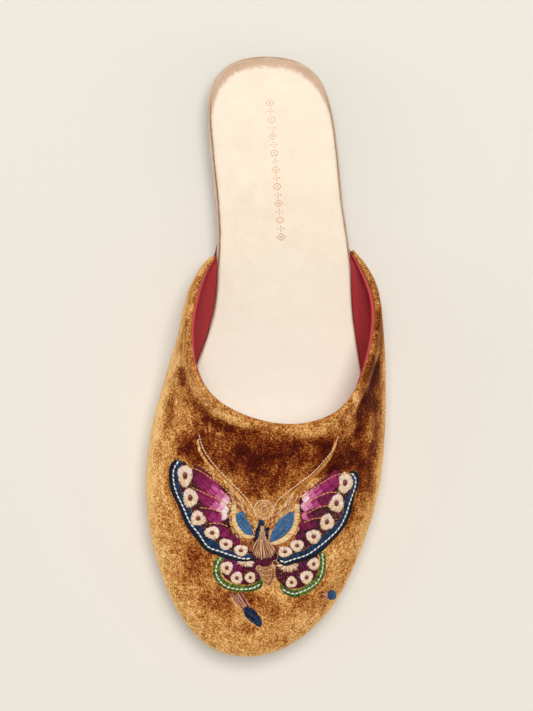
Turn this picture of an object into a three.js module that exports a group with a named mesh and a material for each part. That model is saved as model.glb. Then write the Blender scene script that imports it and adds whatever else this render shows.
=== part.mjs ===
// Left velvet babouche slipper, an open-backed flat mule on a low heel.
// Millimetres, +Z up. The toe points along -Y, the heel along +Y, and +X is the
// outer (little-toe) side. The origin is on the floor under the middle of the shoe.
//
// Pieces, from the floor up: heel block, outsole, leather-wrapped midsole board,
// padded insole, and the velvet upper, one lasted wall that stands on the edge of
// the outsole, outside the midsole, and is open at the collar and underneath.
import * as THREE from "three";
import { mergeVertices } from "three/addons/utils/BufferGeometryUtils.js";

// ---------------------------------------------------------------- dimensions
const HEEL_BACK_Y = 128.8; // rearmost point of the midsole
const OUTSOLE_T = 3.0; // outsole thickness
const MIDSOLE_T = 2.6; // wrapped board thickness
const INSOLE_T = 4.0; // padded sock thickness
const GAP = 0.3; // between pieces that touch
const HEEL_LENGTH = 52.0; // from the back of the midsole to the heel breast
const BREAST_HOLLOW = 2.5; // how far the breast line is dished
const WALL_T = 2.2; // velvet, backing and lining together
const WALL_END_T = 1.2; // the wall skived thin at the two wing ends
const WIDTH_FIT = 0.984; // the drafted outlines are drawn in sideways by this much
const SHIFT_X = -0.003; // these two centre the finished shoe's box on the origin
const SHIFT_Y = -0.488;

// Height of the outsole's underside against the distance forward of the heel's back:
// a straight heel seat, the shank falling to the tread, a flat tread, and toe spring.
const SHANK = [
  [0, 10.5], [54, 9.8], [75, 8.2], [100, 5.0], [120, 2.4], [138, 0.55],
  [148, 0], [190, 0], [205, 0.5], [220, 1.7], [235, 3.6], [250, 6.0], [258, 7.4],
];

// Edge of the midsole board, from the back of the heel down the inner side to the
// toe and up the outer side.
const MIDSOLE_EDGE = [
  [-0.2, 128.8], [-6.0, 128.4], [-12.2, 127.1], [-16.5, 125.1], [-19.6, 122.6],
  [-21.9, 120.0], [-23.5, 117.4], [-24.6, 114.6], [-25.3, 111.4], [-25.7, 107.3],
  [-25.8, 102.7], [-25.5, 96.8], [-24.9, 91.0], [-24.1, 82.6], [-23.3, 76.0],
  [-22.5, 68.8], [-21.8, 60.5], [-21.4, 53.0], [-21.5, 46.0], [-22.1, 38.5],
  [-23.0, 30.8], [-24.4, 22.9], [-26.3, 15.2], [-28.8, 7.5], [-31.6, -0.2],
  [-34.6, -7.6], [-37.5, -15.2], [-40.1, -22.9], [-42.4, -30.9], [-44.2, -39.1],
  [-45.3, -47.4], [-45.7, -55.7], [-45.5, -63.9], [-44.7, -72.2], [-43.1, -80.4],
  [-40.6, -88.6], [-37.3, -96.6], [-33.1, -104.0], [-27.8, -110.8], [-21.6, -116.3],
  [-14.6, -120.3], [-7.0, -122.3], [0.7, -121.6], [7.7, -118.7], [14.2, -114.2],
  [20.2, -108.4], [25.3, -102.1], [29.8, -95.0], [33.9, -87.4], [37.8, -79.2],
  [41.1, -71.0], [43.8, -62.7], [45.7, -54.5], [47.0, -46.2], [47.6, -38.0],
  [47.6, -29.7], [47.0, -21.4], [45.9, -13.2], [44.5, -4.9], [43.0, 3.3],
  [41.6, 11.6], [40.3, 19.8], [39.1, 28.0], [38.0, 36.2], [36.9, 44.3],
  [35.8, 51.5], [34.6, 58.6], [33.5, 65.6], [32.7, 72.6], [32.0, 79.3],
  [31.3, 86.3], [30.5, 92.8], [29.6, 99.2], [28.4, 105.6], [26.9, 111.2],
  [25.1, 115.7], [22.9, 119.4], [20.0, 122.6], [16.5, 125.1], [12.1, 127.1],
  [6.3, 128.4],
];

// Widest line of the upper seen from above, from the inner wing end round the toe
// to the outer wing end.
const BULGE = [
  [-23.2, 43.1], [-25.6, 41.3], [-27.6, 39.2], [-29.5, 36.8], [-31.2, 33.8],
  [-32.9, 30.3], [-34.4, 26.5], [-35.6, 21.8], [-36.7, 17.1], [-37.9, 11.3],
  [-39.3, 5.7], [-40.9, 0.2], [-42.7, -5.5], [-44.5, -11.5], [-46.3, -17.9],
  [-48.0, -24.3], [-49.4, -30.6], [-50.6, -37.0], [-51.5, -44.6], [-51.9, -52.8],
  [-51.7, -61.0], [-51.0, -69.3], [-49.6, -77.6], [-47.4, -86.0], [-44.6, -94.5],
  [-41.3, -102.4], [-37.7, -109.1], [-33.6, -115.1], [-29.1, -120.0], [-24.7, -123.5],
  [-20.1, -125.8], [-15.6, -127.1], [-11.2, -127.7], [-6.7, -127.9], [-2.2, -127.5],
  [2.3, -126.5], [6.9, -124.8], [11.4, -122.5], [15.9, -119.7], [20.4, -116.1],
  [24.9, -111.7], [29.4, -106.2], [33.6, -99.5], [37.7, -91.6], [41.3, -83.1],
  [44.3, -74.6], [46.8, -66.3], [48.8, -58.1], [50.2, -49.9], [51.1, -41.1],
  [51.6, -32.4], [51.8, -24.2], [51.9, -16.0], [51.8, -7.9], [51.5, 0.2],
  [51.1, 7.8], [50.5, 14.8], [49.7, 21.2], [48.5, 27.0], [46.9, 32.0],
  [44.9, 36.1], [42.6, 39.7], [40.3, 42.8], [38.1, 45.5],
];

// Inside edge of the collar, from the inner wing end round the throat to the outer
// wing end: x, y and height over the floor.
const COLLAR = [
  [-22.0, 42.8, 13.2], [-24.3, 39.6, 17.3], [-27.1, 35.2, 22.4], [-29.5, 29.5, 28.0],
  [-31.3, 22.9, 33.0], [-32.5, 17.2, 36.4], [-33.0, 10.4, 39.8], [-32.8, 3.2, 43.1],
  [-31.9, -2.5, 45.4], [-30.0, -8.0, 47.3], [-26.7, -13.7, 49.1], [-21.6, -18.9, 50.7],
  [-15.4, -22.8, 51.8], [-8.9, -25.6, 52.6], [-2.5, -27.6, 53.2], [2.6, -28.5, 53.5],
  [7.9, -28.9, 53.6], [12.8, -28.6, 53.5], [17.9, -27.6, 53.2], [23.0, -25.8, 52.7],
  [27.8, -23.2, 52.0], [32.0, -19.4, 50.8], [35.3, -14.8, 49.3], [37.9, -9.9, 47.6],
  [40.1, -4.7, 45.8], [42.0, 0.8, 43.8], [43.8, 7.6, 40.8], [45.1, 14.8, 36.9],
  [45.5, 20.3, 33.5], [45.1, 25.5, 30.0], [43.9, 31.0, 25.8], [41.8, 36.5, 21.3],
  [39.2, 41.6, 16.9], [37.2, 45.4, 12.9],
];
for (const outline of [MIDSOLE_EDGE, BULGE, COLLAR]) for (const point of outline) point[0] *= WIDTH_FIT;

// Where round the collar each place round the bulge line is joined to, both as a
// share of the line's length.
const FAN = [
  [0, 0], [0.04, 0.075], [0.085, 0.155], [0.125, 0.23], [0.18, 0.305], [0.24, 0.365],
  [0.32, 0.418], [0.41, 0.466], [0.5, 0.507], [0.59, 0.548], [0.68, 0.594],
  [0.76, 0.645], [0.82, 0.702], [0.875, 0.772], [0.915, 0.842], [0.96, 0.925], [1, 1],
];
// Slope in degrees of the wall where it meets the collar.
const SLOPE = [
  [0, 82], [0.05, 80], [0.1, 76], [0.14, 69], [0.18, 60], [0.23, 50], [0.29, 40],
  [0.36, 30], [0.43, 24], [0.5, 21], [0.57, 24], [0.64, 30], [0.71, 40], [0.77, 51],
  [0.82, 62], [0.87, 71], [0.91, 77], [0.95, 80], [1, 82],
];
// Height of the bulge line over the foot of the wall, at most.
const BULGE_RISE = [
  [0, 2], [0.06, 9], [0.12, 12], [0.2, 12.5], [0.3, 12], [0.4, 9.5], [0.5, 8],
  [0.6, 9.5], [0.7, 12], [0.8, 12.5], [0.88, 12], [0.94, 9], [1, 2],
];
// How upright the wall starts over the bulge line, and how long it runs straight
// before the collar, as shares of the rise and of the distance to the collar.
const RISE_PULL = [
  [0, 0.4], [0.1, 0.42], [0.2, 0.4], [0.3, 0.36], [0.4, 0.3], [0.5, 0.27],
  [0.6, 0.3], [0.7, 0.36], [0.8, 0.4], [0.9, 0.42], [1, 0.4],
];
const COLLAR_PULL = [
  [0, 0.3], [0.12, 0.34], [0.25, 0.4], [0.35, 0.46], [0.5, 0.5], [0.65, 0.46],
  [0.75, 0.4], [0.88, 0.34], [1, 0.3],
];

// ---------------------------------------------------------------- curve helpers
// Monotone cubic through a table of [x, y].
function curveOf(table) {
  const n = table.length, h = [], d = [], m = new Array(n);
  for (let i = 0; i < n - 1; i++) {
    h.push(table[i + 1][0] - table[i][0]);
    d.push((table[i + 1][1] - table[i][1]) / h[i]);
  }
  for (let i = 1; i < n - 1; i++)
    m[i] = d[i - 1] * d[i] <= 0 ? 0
      : (h[i - 1] + h[i]) * 3 / ((2 * h[i] + h[i - 1]) / d[i - 1] + (h[i] + 2 * h[i - 1]) / d[i]);
  m[0] = d[0];
  m[n - 1] = d[n - 2];
  return (x) => {
    if (x <= table[0][0]) return table[0][1];
    if (x >= table[n - 1][0]) return table[n - 1][1];
    let i = 0;
    while (x > table[i + 1][0]) i++;
    const t = (x - table[i][0]) / h[i], t2 = t * t, t3 = t2 * t;
    return (2 * t3 - 3 * t2 + 1) * table[i][1] + (t3 - 2 * t2 + t) * h[i] * m[i]
      + (3 * t2 - 2 * t3) * table[i + 1][1] + (t3 - t2) * h[i] * m[i + 1];
  };
}

// A smooth path through points of any dimension, as a dense list of points.
function smoothPath(points, closed, per = 8) {
  const n = points.length, dim = points[0].length;
  const at = (i) => (closed ? points[(i + n) % n] : points[Math.max(0, Math.min(n - 1, i))]);
  const gap = (a, b) => Math.max(1e-9, Math.hypot(...a.map((v, k) => v - b[k])));
  const out = [];
  const spans = closed ? n : n - 1;
  for (let i = 0; i < spans; i++) {
    const p0 = at(i - 1), p1 = at(i), p2 = at(i + 1), p3 = at(i + 2);
    const h = gap(p1, p2), hb = gap(p0, p1), ha = gap(p2, p3);
    const m1 = [], m2 = [];
    for (let k = 0; k < dim; k++) {
      const d = (p2[k] - p1[k]) / h;
      const db = hb > 1e-6 ? (p1[k] - p0[k]) / hb : d, da = ha > 1e-6 ? (p3[k] - p2[k]) / ha : d;
      m1.push((d * hb + db * h) / (h + hb));
      m2.push((d * ha + da * h) / (h + ha));
    }
    for (let j = 0; j < per; j++) {
      const t = j / per, t2 = t * t, t3 = t2 * t;
      out.push(p1.map((v, k) => (2 * t3 - 3 * t2 + 1) * v + (t3 - 2 * t2 + t) * h * m1[k]
        + (3 * t2 - 2 * t3) * p2[k] + (t3 - t2) * h * m2[k]));
    }
  }
  if (!closed) out.push(points[n - 1].slice());
  return out;
}

// A point of a dense open path at a share of its plan length.
function pathAt(path) {
  const s = [0];
  for (let i = 1; i < path.length; i++)
    s.push(s[i - 1] + Math.hypot(path[i][0] - path[i - 1][0], path[i][1] - path[i - 1][1]));
  const total = s[s.length - 1];
  return (share) => {
    const want = Math.max(0, Math.min(1, share)) * total;
    let i = 1;
    while (i < s.length - 1 && s[i] < want) i++;
    const t = (want - s[i - 1]) / (s[i] - s[i - 1]);
    return path[i].map((v, k) => path[i - 1][k] + t * (v - path[i - 1][k]));
  };
}

const shankOf = curveOf(SHANK);
const soleZ = (y) => shankOf(HEEL_BACK_Y - y);
const lerp = (a, b, t) => a + (b - a) * t;
const smooth = (a, b, x) => {
  const t = Math.max(0, Math.min(1, (x - a) / (b - a)));
  return t * t * (3 - 2 * t);
};

// ---------------------------------------------------------------- sole outline
// The board's edge as matched pairs of points, inner and outer side at the same y,
// close together at both round ends.
const HALF_STEPS = 46;
const edge = smoothPath(MIDSOLE_EDGE, true, 10);
const back = edge.reduce((b, p, i) => (p[1] > edge[b][1] ? i : b), 0);
const toe = edge.reduce((b, p, i) => (p[1] < edge[b][1] ? i : b), 0);
const walk = (from, to, step) => {
  const out = [];
  for (let i = from; ; i = (i + step + edge.length) % edge.length) {
    out.push(edge[i]);
    if (i === to) return out;
  }
};
const innerSide = walk(back, toe, 1), outerSide = walk(back, toe, -1);
const xAt = (side, y) => {
  for (let i = 1; i < side.length; i++)
    if (side[i][1] <= y) {
      const a = side[i - 1], b = side[i], t = (a[1] - y) / Math.max(1e-9, a[1] - b[1]);
      return lerp(a[0], b[0], t);
    }
  return side[side.length - 1][0];
};
const yBack = edge[back][1], yToe = edge[toe][1];
const ring = []; // back, inner side to the toe, outer side back up
for (let i = 0; i <= HALF_STEPS; i++) {
  const y = lerp(yBack, yToe, (1 - Math.cos((Math.PI * i) / HALF_STEPS)) / 2);
  ring.push(i === 0 ? edge[back] : i === HALF_STEPS ? edge[toe] : [xAt(innerSide, y), y]);
}
for (let i = HALF_STEPS - 1; i > 0; i--) {
  const y = ring[i][1];
  ring.push([xAt(outerSide, y), y]);
}
const outward = ring.map((p, i) => {
  const a = ring[(i - 1 + ring.length) % ring.length], b = ring[(i + 1) % ring.length];
  const l = Math.hypot(b[0] - a[0], b[1] - a[1]);
  return [-(b[1] - a[1]) / l, (b[0] - a[0]) / l].map((v) => -v);
});
// The outward side is the one away from the shoe's middle line.
outward.forEach((n, i) => {
  const p = ring[i];
  if (n[0] * p[0] * 0.02 + n[1] * (p[1] > 80 ? 1 : p[1] < -80 ? -1 : 0) + n[0] * (i < HALF_STEPS ? -1 : 1) * 0.5 < 0) {
    n[0] = -n[0];
    n[1] = -n[1];
  }
});
const offsetRing = (d) => ring.map((p, i) => {
  const o = typeof d === "function" ? d(p[1]) : d;
  return [p[0] + outward[i][0] * o, p[1] + outward[i][1] * o];
});

// ---------------------------------------------------------------- mesh helpers
function geometryOf(vertices, triangles) {
  const g = new THREE.BufferGeometry();
  g.setAttribute("position", new THREE.Float32BufferAttribute(vertices.flat(), 3));
  g.setIndex(triangles.flat());
  return mergeVertices(g, 1e-4);
}

// A closed layer of the sole: rings from the bottom to the top, each an outline with
// its own height law, closed by ladders of quads between the inner and outer sides.
function layer(rings) {
  const n = ring.length, m = HALF_STEPS, vertices = [], triangles = [];
  for (const r of rings) for (const p of offsetRing(r.offset)) vertices.push([p[0], p[1], r.z(p[1])]);
  for (let k = 0; k + 1 < rings.length; k++)
    for (let i = 0; i < n; i++) {
      const j = (i + 1) % n, a = k * n + i, b = k * n + j, c = (k + 1) * n + j, d = (k + 1) * n + i;
      triangles.push([a, b, c], [a, c, d]);
    }
  const cap = (base, flip) => {
    const tri = (a, b, c) => triangles.push(flip ? [a, c, b] : [a, b, c]);
    tri(base, base + 1, base + n - 1);
    for (let i = 1; i < m - 1; i++) {
      tri(base + i, base + i + 1, base + n - i - 1);
      tri(base + i, base + n - i - 1, base + n - i);
    }
    tri(base + m - 1, base + m, base + m + 1);
  };
  cap(0, true);
  cap((rings.length - 1) * n, false);
  return geometryOf(vertices, triangles);
}

// ---------------------------------------------------------------- outsole
const wallT = curveOf([[0, WALL_END_T], [0.05, WALL_T], [0.95, WALL_T], [1, WALL_END_T]]);
// Behind the wings the outsole sits a little inside the board, and forward of them it
// carries the foot of the upper.
const outsoleEdge = (y) => lerp(WALL_T + GAP - 0.3, -0.5, smooth(34, 54, y));
const outsole = layer([
  { offset: (y) => outsoleEdge(y) - 0.7, z: (y) => soleZ(y) },
  { offset: (y) => outsoleEdge(y), z: (y) => soleZ(y) + 0.7 },
  { offset: (y) => outsoleEdge(y), z: (y) => soleZ(y) + OUTSOLE_T - 0.4 },
  { offset: (y) => outsoleEdge(y) - 0.4, z: (y) => soleZ(y) + OUTSOLE_T },
]);

// ---------------------------------------------------------------- midsole board
const midZ = (y) => soleZ(y) + OUTSOLE_T + GAP;
const midsole = layer([
  { offset: -0.5, z: (y) => midZ(y) },
  { offset: 0, z: (y) => midZ(y) + 0.6 },
  { offset: 0, z: (y) => midZ(y) + MIDSOLE_T - 0.7 },
  { offset: -0.7, z: (y) => midZ(y) + MIDSOLE_T },
]);

// ---------------------------------------------------------------- padded insole
const inZ = (y) => midZ(y) + MIDSOLE_T + GAP;
const insole = layer([
  { offset: -1.7, z: (y) => inZ(y) },
  { offset: -1.1, z: (y) => inZ(y) + 0.7 },
  { offset: -1.1, z: (y) => inZ(y) + 1.8 },
  { offset: -1.8, z: (y) => inZ(y) + 3.0 },
  { offset: -3.0, z: (y) => inZ(y) + 3.7 },
  { offset: -5.0, z: (y) => inZ(y) + INSOLE_T },
]);

// ---------------------------------------------------------------- heel block
// The board's outline back to the breast, slightly flared to the floor, with a
// dished breast. Its top follows the straight heel seat.
const heelOutline = (inset) => {
  const inside = offsetRing(-inset), yBreast = HEEL_BACK_Y - HEEL_LENGTH;
  const clip = (pts) => {
    const out = [];
    for (let i = 0; i < pts.length; i++) {
      if (pts[i][1] >= yBreast) out.push(pts[i]);
      else {
        const a = pts[i - 1], b = pts[i], t = (a[1] - yBreast) / (a[1] - b[1]);
        out.push([lerp(a[0], b[0], t), yBreast]);
        break;
      }
    }
    return out;
  };
  const inner = clip(inside.slice(0, HALF_STEPS + 1));
  const outer = clip([inside[0], ...inside.slice(HALF_STEPS).reverse()]);
  const a = inner[inner.length - 1], b = outer[outer.length - 1], breast = [];
  for (let i = 1; i < 10; i++) {
    const t = i / 10;
    breast.push([lerp(a[0], b[0], t), yBreast + BREAST_HOLLOW * 4 * t * (1 - t)]);
  }
  return [...inner, ...breast, ...outer.slice(1).reverse()];
};
function heelBlock() {
  const levels = [
    [heelOutline(1.6), () => 0],
    [heelOutline(0.8), () => 0.9],
    [heelOutline(1.1), (y) => soleZ(y) - GAP],
  ];
  const n = levels[0][0].length, vertices = [], triangles = [];
  for (const [pts, z] of levels) for (const p of pts) vertices.push([p[0], p[1], z(p[1])]);
  for (let k = 0; k < 2; k++)
    for (let i = 0; i < n; i++) {
      const j = (i + 1) % n, a = k * n + i, b = k * n + j, c = (k + 1) * n + j, d = (k + 1) * n + i;
      triangles.push([a, b, c], [a, c, d]);
    }
  const cy = HEEL_BACK_Y - HEEL_LENGTH * 0.5;
  vertices.push([2, cy, 0], [2, cy, soleZ(cy) - GAP]);
  const low = vertices.length - 2, high = low + 1;
  for (let i = 0; i < n; i++) {
    const j = (i + 1) % n;
    triangles.push([low, j, i], [high, 2 * n + i, 2 * n + j]);
  }
  return geometryOf(vertices, triangles);
}

// ---------------------------------------------------------------- velvet upper
const U_STEPS = 84, LOW_STEPS = 4, HIGH_STEPS = 13;
const bulgeAt = pathAt(smoothPath(BULGE, false, 8));
const collarAt = pathAt(smoothPath(COLLAR, false, 8));
const fanOf = curveOf(FAN), slopeOf = curveOf(SLOPE), bulgeRise = curveOf(BULGE_RISE);
const risePull = curveOf(RISE_PULL), collarPull = curveOf(COLLAR_PULL);

// The nearest point of the board's edge to a place on the bulge line, and the
// direction outward there.
const footPath = smoothPath(MIDSOLE_EDGE, true, 12);
function foot(q, thickness) {
  let best = 0, bestD = 1e9;
  footPath.forEach((p, i) => {
    const d = (p[0] - q[0]) ** 2 + (p[1] - q[1]) ** 2;
    if (d < bestD) [best, bestD] = [i, d];
  });
  const n = footPath.length, a = footPath[(best - 3 + n) % n], b = footPath[(best + 3) % n], p = footPath[best];
  const l = Math.hypot(b[0] - a[0], b[1] - a[1]);
  let out = [(b[1] - a[1]) / l, -(b[0] - a[0]) / l];
  if (out[0] * (q[0] - p[0]) + out[1] * (q[1] - p[1]) < 0) out = out.map((v) => -v);
  // project q on the edge's tangent for an even spread
  const tx = (b[0] - a[0]) / l, ty = (b[1] - a[1]) / l, along = (q[0] - p[0]) * tx + (q[1] - p[1]) * ty;
  return {
    x: p[0] + tx * along + out[0] * (GAP + thickness),
    y: p[1] + ty * along + out[1] * (GAP + thickness),
    out,
  };
}
const add = (a, b, s = 1) => [a[0] + b[0] * s, a[1] + b[1] * s, a[2] + b[2] * s];
const bezier = (p, t) => {
  const s = 1 - t, w = [s * s * s, 3 * s * s * t, 3 * s * t * t, t * t * t];
  return [0, 1, 2].map((k) => w[0] * p[0][k] + w[1] * p[1][k] + w[2] * p[2][k] + w[3] * p[3][k]);
};

// One column of the wall's outside, from its foot to the collar.
function column(u) {
  const t = wallT(u), q = bulgeAt(u), f = foot(q, t);
  const zf = soleZ(f.y) + OUTSOLE_T + GAP;
  const w = fanOf(u), c = collarAt(w), c1 = collarAt(w + 0.012), c0 = collarAt(w - 0.012);
  const tl = Math.hypot(c1[0] - c0[0], c1[1] - c0[1]);
  // outward from the opening, in plan
  const away = [(c1[1] - c0[1]) / tl, -(c1[0] - c0[0]) / tl].map((v) => -v);
  if (away[0] * (q[0] - c[0]) + away[1] * (q[1] - c[1]) < 0) away.forEach((v, i) => (away[i] = -v));
  const slope = (slopeOf(u) * Math.PI) / 180;
  const top = [c[0] + away[0] * Math.sin(slope) * t, c[1] + away[1] * Math.sin(slope) * t, c[2] + Math.cos(slope) * t];
  const zs = zf + Math.min(bulgeRise(u), 0.62 * (top[2] - zf));
  const foot0 = [f.x, f.y, zf], side = [q[0], q[1], zs];
  const d = Math.hypot(side[0] - foot0[0], side[1] - foot0[1]), rise = zs - zf;
  const low = [foot0, [lerp(f.x, q[0], 0.62), lerp(f.y, q[1], 0.62), zf + 0.12 * rise],
    [q[0], q[1], zs - 0.5 * rise], side];
  let back = [top[0] - side[0], top[1] - side[1]];
  const reach = Math.hypot(...back);
  back = reach > 1e-6 ? back.map((v) => v / reach) : away.map((v) => -v);
  let dir = [0.55 * back[0] - 0.45 * away[0], 0.55 * back[1] - 0.45 * away[1]];
  const dl = Math.hypot(...dir);
  dir = dir.map((v) => v / dl);
  const span = Math.hypot(reach, top[2] - zs), pull = collarPull(u) * span;
  const high = [side, [q[0], q[1], zs + risePull(u) * (top[2] - zs)],
    [top[0] - dir[0] * Math.cos(slope) * pull, top[1] - dir[1] * Math.cos(slope) * pull, top[2] - Math.sin(slope) * pull], top];
  const out = [];
  for (let i = 0; i < LOW_STEPS; i++) out.push(bezier(low, i / LOW_STEPS));
  for (let i = 0; i <= HIGH_STEPS; i++) out.push(bezier(high, (i / HIGH_STEPS) ** 1.25));
  return { points: out, inner: [f.x - f.out[0] * t, f.y - f.out[1] * t, zf], collar: c, t };
}

function upper() {
  const columns = [];
  for (let i = 0; i <= U_STEPS; i++) columns.push(column(i / U_STEPS));
  const rows = LOW_STEPS + HIGH_STEPS + 1, nu = U_STEPS + 1;
  const outer = columns.map((c) => c.points);
  const inner = outer.map((col, i) => col.map((p, j) => {
    if (j === 0) return columns[i].inner;
    if (j === rows - 1) return columns[i].collar;
    const a = outer[Math.max(0, i - 1)][j], b = outer[Math.min(nu - 1, i + 1)][j];
    const c = col[j - 1], d = col[j + 1];
    const du = [b[0] - a[0], b[1] - a[1], b[2] - a[2]], dv = [d[0] - c[0], d[1] - c[1], d[2] - c[2]];
    let n = [du[1] * dv[2] - du[2] * dv[1], du[2] * dv[0] - du[0] * dv[2], du[0] * dv[1] - du[1] * dv[0]];
    const l = Math.hypot(...n);
    n = n.map((v) => v / l);
    return add(p, n, -columns[i].t);
  }));
  const vertices = [...outer.flat(), ...inner.flat()], triangles = [];
  const O = (i, j) => i * rows + j, I = (i, j) => nu * rows + i * rows + j;
  const quad = (a, b, c, d) => triangles.push([a, b, c], [a, c, d]);
  for (let i = 0; i + 1 < nu; i++) {
    for (let j = 0; j + 1 < rows; j++) {
      quad(O(i, j), O(i + 1, j), O(i + 1, j + 1), O(i, j + 1));
      quad(I(i, j), I(i, j + 1), I(i + 1, j + 1), I(i + 1, j));
    }
    quad(O(i, 0), I(i, 0), I(i + 1, 0), O(i + 1, 0));
    quad(O(i, rows - 1), O(i + 1, rows - 1), I(i + 1, rows - 1), I(i, rows - 1));
  }
  for (let j = 0; j + 1 < rows; j++) {
    quad(O(0, j), O(0, j + 1), I(0, j + 1), I(0, j));
    quad(O(nu - 1, j), I(nu - 1, j), I(nu - 1, j + 1), O(nu - 1, j + 1));
  }
  return geometryOf(vertices, triangles);
}

// ---------------------------------------------------------------- the shoe
const finish = (color, roughness, metalness = 0) => new THREE.MeshStandardMaterial({ color, roughness, metalness });
const shoe = new THREE.Group();
shoe.name = "babouche_slipper";
const piece = (name, geometry, material) => {
  const mesh = new THREE.Mesh(geometry, material);
  mesh.name = name;
  shoe.add(mesh);
};
piece("heel", heelBlock(), finish(0x2a2422, 0.6));
piece("outsole", outsole, finish(0x9a7350, 0.6));
piece("midsole", midsole, finish(0xd9b79e, 0.4, 0.6));
piece("insole", insole, finish(0xf0d9c6, 0.4, 0.6));
piece("upper", upper(), finish(0x9a5a20, 0.9));
shoe.position.set(SHIFT_X, SHIFT_Y, 0);

export default shoe;
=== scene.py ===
"""Looks of a left velvet babouche slipper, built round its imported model.

Lengths in the tables are millimetres in the slipper's own frame: the toe along -Y, the heel along
+Y, the outer side +X, up +Z. put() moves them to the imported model's frame, in metres.
"""
import math

import bpy
import numpy as np
from mathutils import Matrix, Vector, noise
from mathutils.bvhtree import BVHTree


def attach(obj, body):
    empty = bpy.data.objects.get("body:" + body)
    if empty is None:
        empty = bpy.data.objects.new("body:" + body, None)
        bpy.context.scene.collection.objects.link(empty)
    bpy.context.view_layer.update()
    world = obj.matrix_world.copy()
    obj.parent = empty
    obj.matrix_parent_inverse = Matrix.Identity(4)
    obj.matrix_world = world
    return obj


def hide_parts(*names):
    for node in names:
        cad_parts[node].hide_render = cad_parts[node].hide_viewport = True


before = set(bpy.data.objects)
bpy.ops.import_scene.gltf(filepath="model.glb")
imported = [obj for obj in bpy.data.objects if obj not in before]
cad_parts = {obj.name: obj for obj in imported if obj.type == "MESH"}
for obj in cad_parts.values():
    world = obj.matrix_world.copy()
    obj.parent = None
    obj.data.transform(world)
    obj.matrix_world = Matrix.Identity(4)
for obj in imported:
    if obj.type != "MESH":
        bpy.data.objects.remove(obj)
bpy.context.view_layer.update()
scene = bpy.context.scene
SHIFT = np.array([-0.003, -0.488, 0.0])
rng = np.random.default_rng(7)


def put(p):
    return (np.asarray(p, float) + SHIFT) * 0.001


# ------------------------------------------------------------------ camera
CAM = Vector((-0.0578, -0.0086, 1.100))
AIM = Vector((0.0, 0.0, 0.018))
ROLL = -0.003
camera = bpy.data.cameras.new("camera")
camera.sensor_fit = "VERTICAL"
camera.sensor_height = 36.0
camera.lens = 18.0 / math.tan(0.5 * 0.302 / (CAM - AIM).length)
camera.clip_start, camera.clip_end = 0.01, 20.0
cam = bpy.data.objects.new("camera", camera)
scene.collection.objects.link(cam)
forward = (AIM - CAM).normalized()
right = forward.cross(Vector((math.sin(ROLL), math.cos(ROLL), 0))).normalized()
up = right.cross(forward)
cam.matrix_world = Matrix(((right.x, up.x, -forward.x, CAM.x), (right.y, up.y, -forward.y, CAM.y),
                           (right.z, up.z, -forward.z, CAM.z), (0, 0, 0, 1)))
scene.camera = cam

# ------------------------------------------------------------------ the maker's tables, as in the model
HEEL_BACK_Y, OUTSOLE_T, MIDSOLE_T, INSOLE_T, GAP = 128.8, 3.0, 2.6, 4.0, 0.3
HEEL_LENGTH, BREAST_HOLLOW, WALL_T, WALL_END_T = 52.0, 2.5, 2.2, 1.2
SHANK = [(0, 10.5), (54, 9.8), (75, 8.2), (100, 5.0), (120, 2.4), (138, 0.55), (148, 0), (190, 0),
         (205, 0.5), (220, 1.7), (235, 3.6), (250, 6.0), (258, 7.4)]
MIDSOLE_EDGE = [
    (-0.2, 128.8), (-6.0, 128.4), (-12.2, 127.1), (-16.5, 125.1), (-19.6, 122.6), (-21.9, 120.0),
    (-23.5, 117.4), (-24.6, 114.6), (-25.3, 111.4), (-25.7, 107.3), (-25.8, 102.7), (-25.5, 96.8),
    (-24.9, 91.0), (-24.1, 82.6), (-23.3, 76.0), (-22.5, 68.8), (-21.8, 60.5), (-21.4, 53.0),
    (-21.5, 46.0), (-22.1, 38.5), (-23.0, 30.8), (-24.4, 22.9), (-26.3, 15.2), (-28.8, 7.5),
    (-31.6, -0.2), (-34.6, -7.6), (-37.5, -15.2), (-40.1, -22.9), (-42.4, -30.9), (-44.2, -39.1),
    (-45.3, -47.4), (-45.7, -55.7), (-45.5, -63.9), (-44.7, -72.2), (-43.1, -80.4), (-40.6, -88.6),
    (-37.3, -96.6), (-33.1, -104.0), (-27.8, -110.8), (-21.6, -116.3), (-14.6, -120.3), (-7.0, -122.3),
    (0.7, -121.6), (7.7, -118.7), (14.2, -114.2), (20.2, -108.4), (25.3, -102.1), (29.8, -95.0),
    (33.9, -87.4), (37.8, -79.2), (41.1, -71.0), (43.8, -62.7), (45.7, -54.5), (47.0, -46.2),
    (47.6, -38.0), (47.6, -29.7), (47.0, -21.4), (45.9, -13.2), (44.5, -4.9), (43.0, 3.3),
    (41.6, 11.6), (40.3, 19.8), (39.1, 28.0), (38.0, 36.2), (36.9, 44.3), (35.8, 51.5), (34.6, 58.6),
    (33.5, 65.6), (32.7, 72.6), (32.0, 79.3), (31.3, 86.3), (30.5, 92.8), (29.6, 99.2), (28.4, 105.6),
    (26.9, 111.2), (25.1, 115.7), (22.9, 119.4), (20.0, 122.6), (16.5, 125.1), (12.1, 127.1),
    (6.3, 128.4)]
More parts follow.
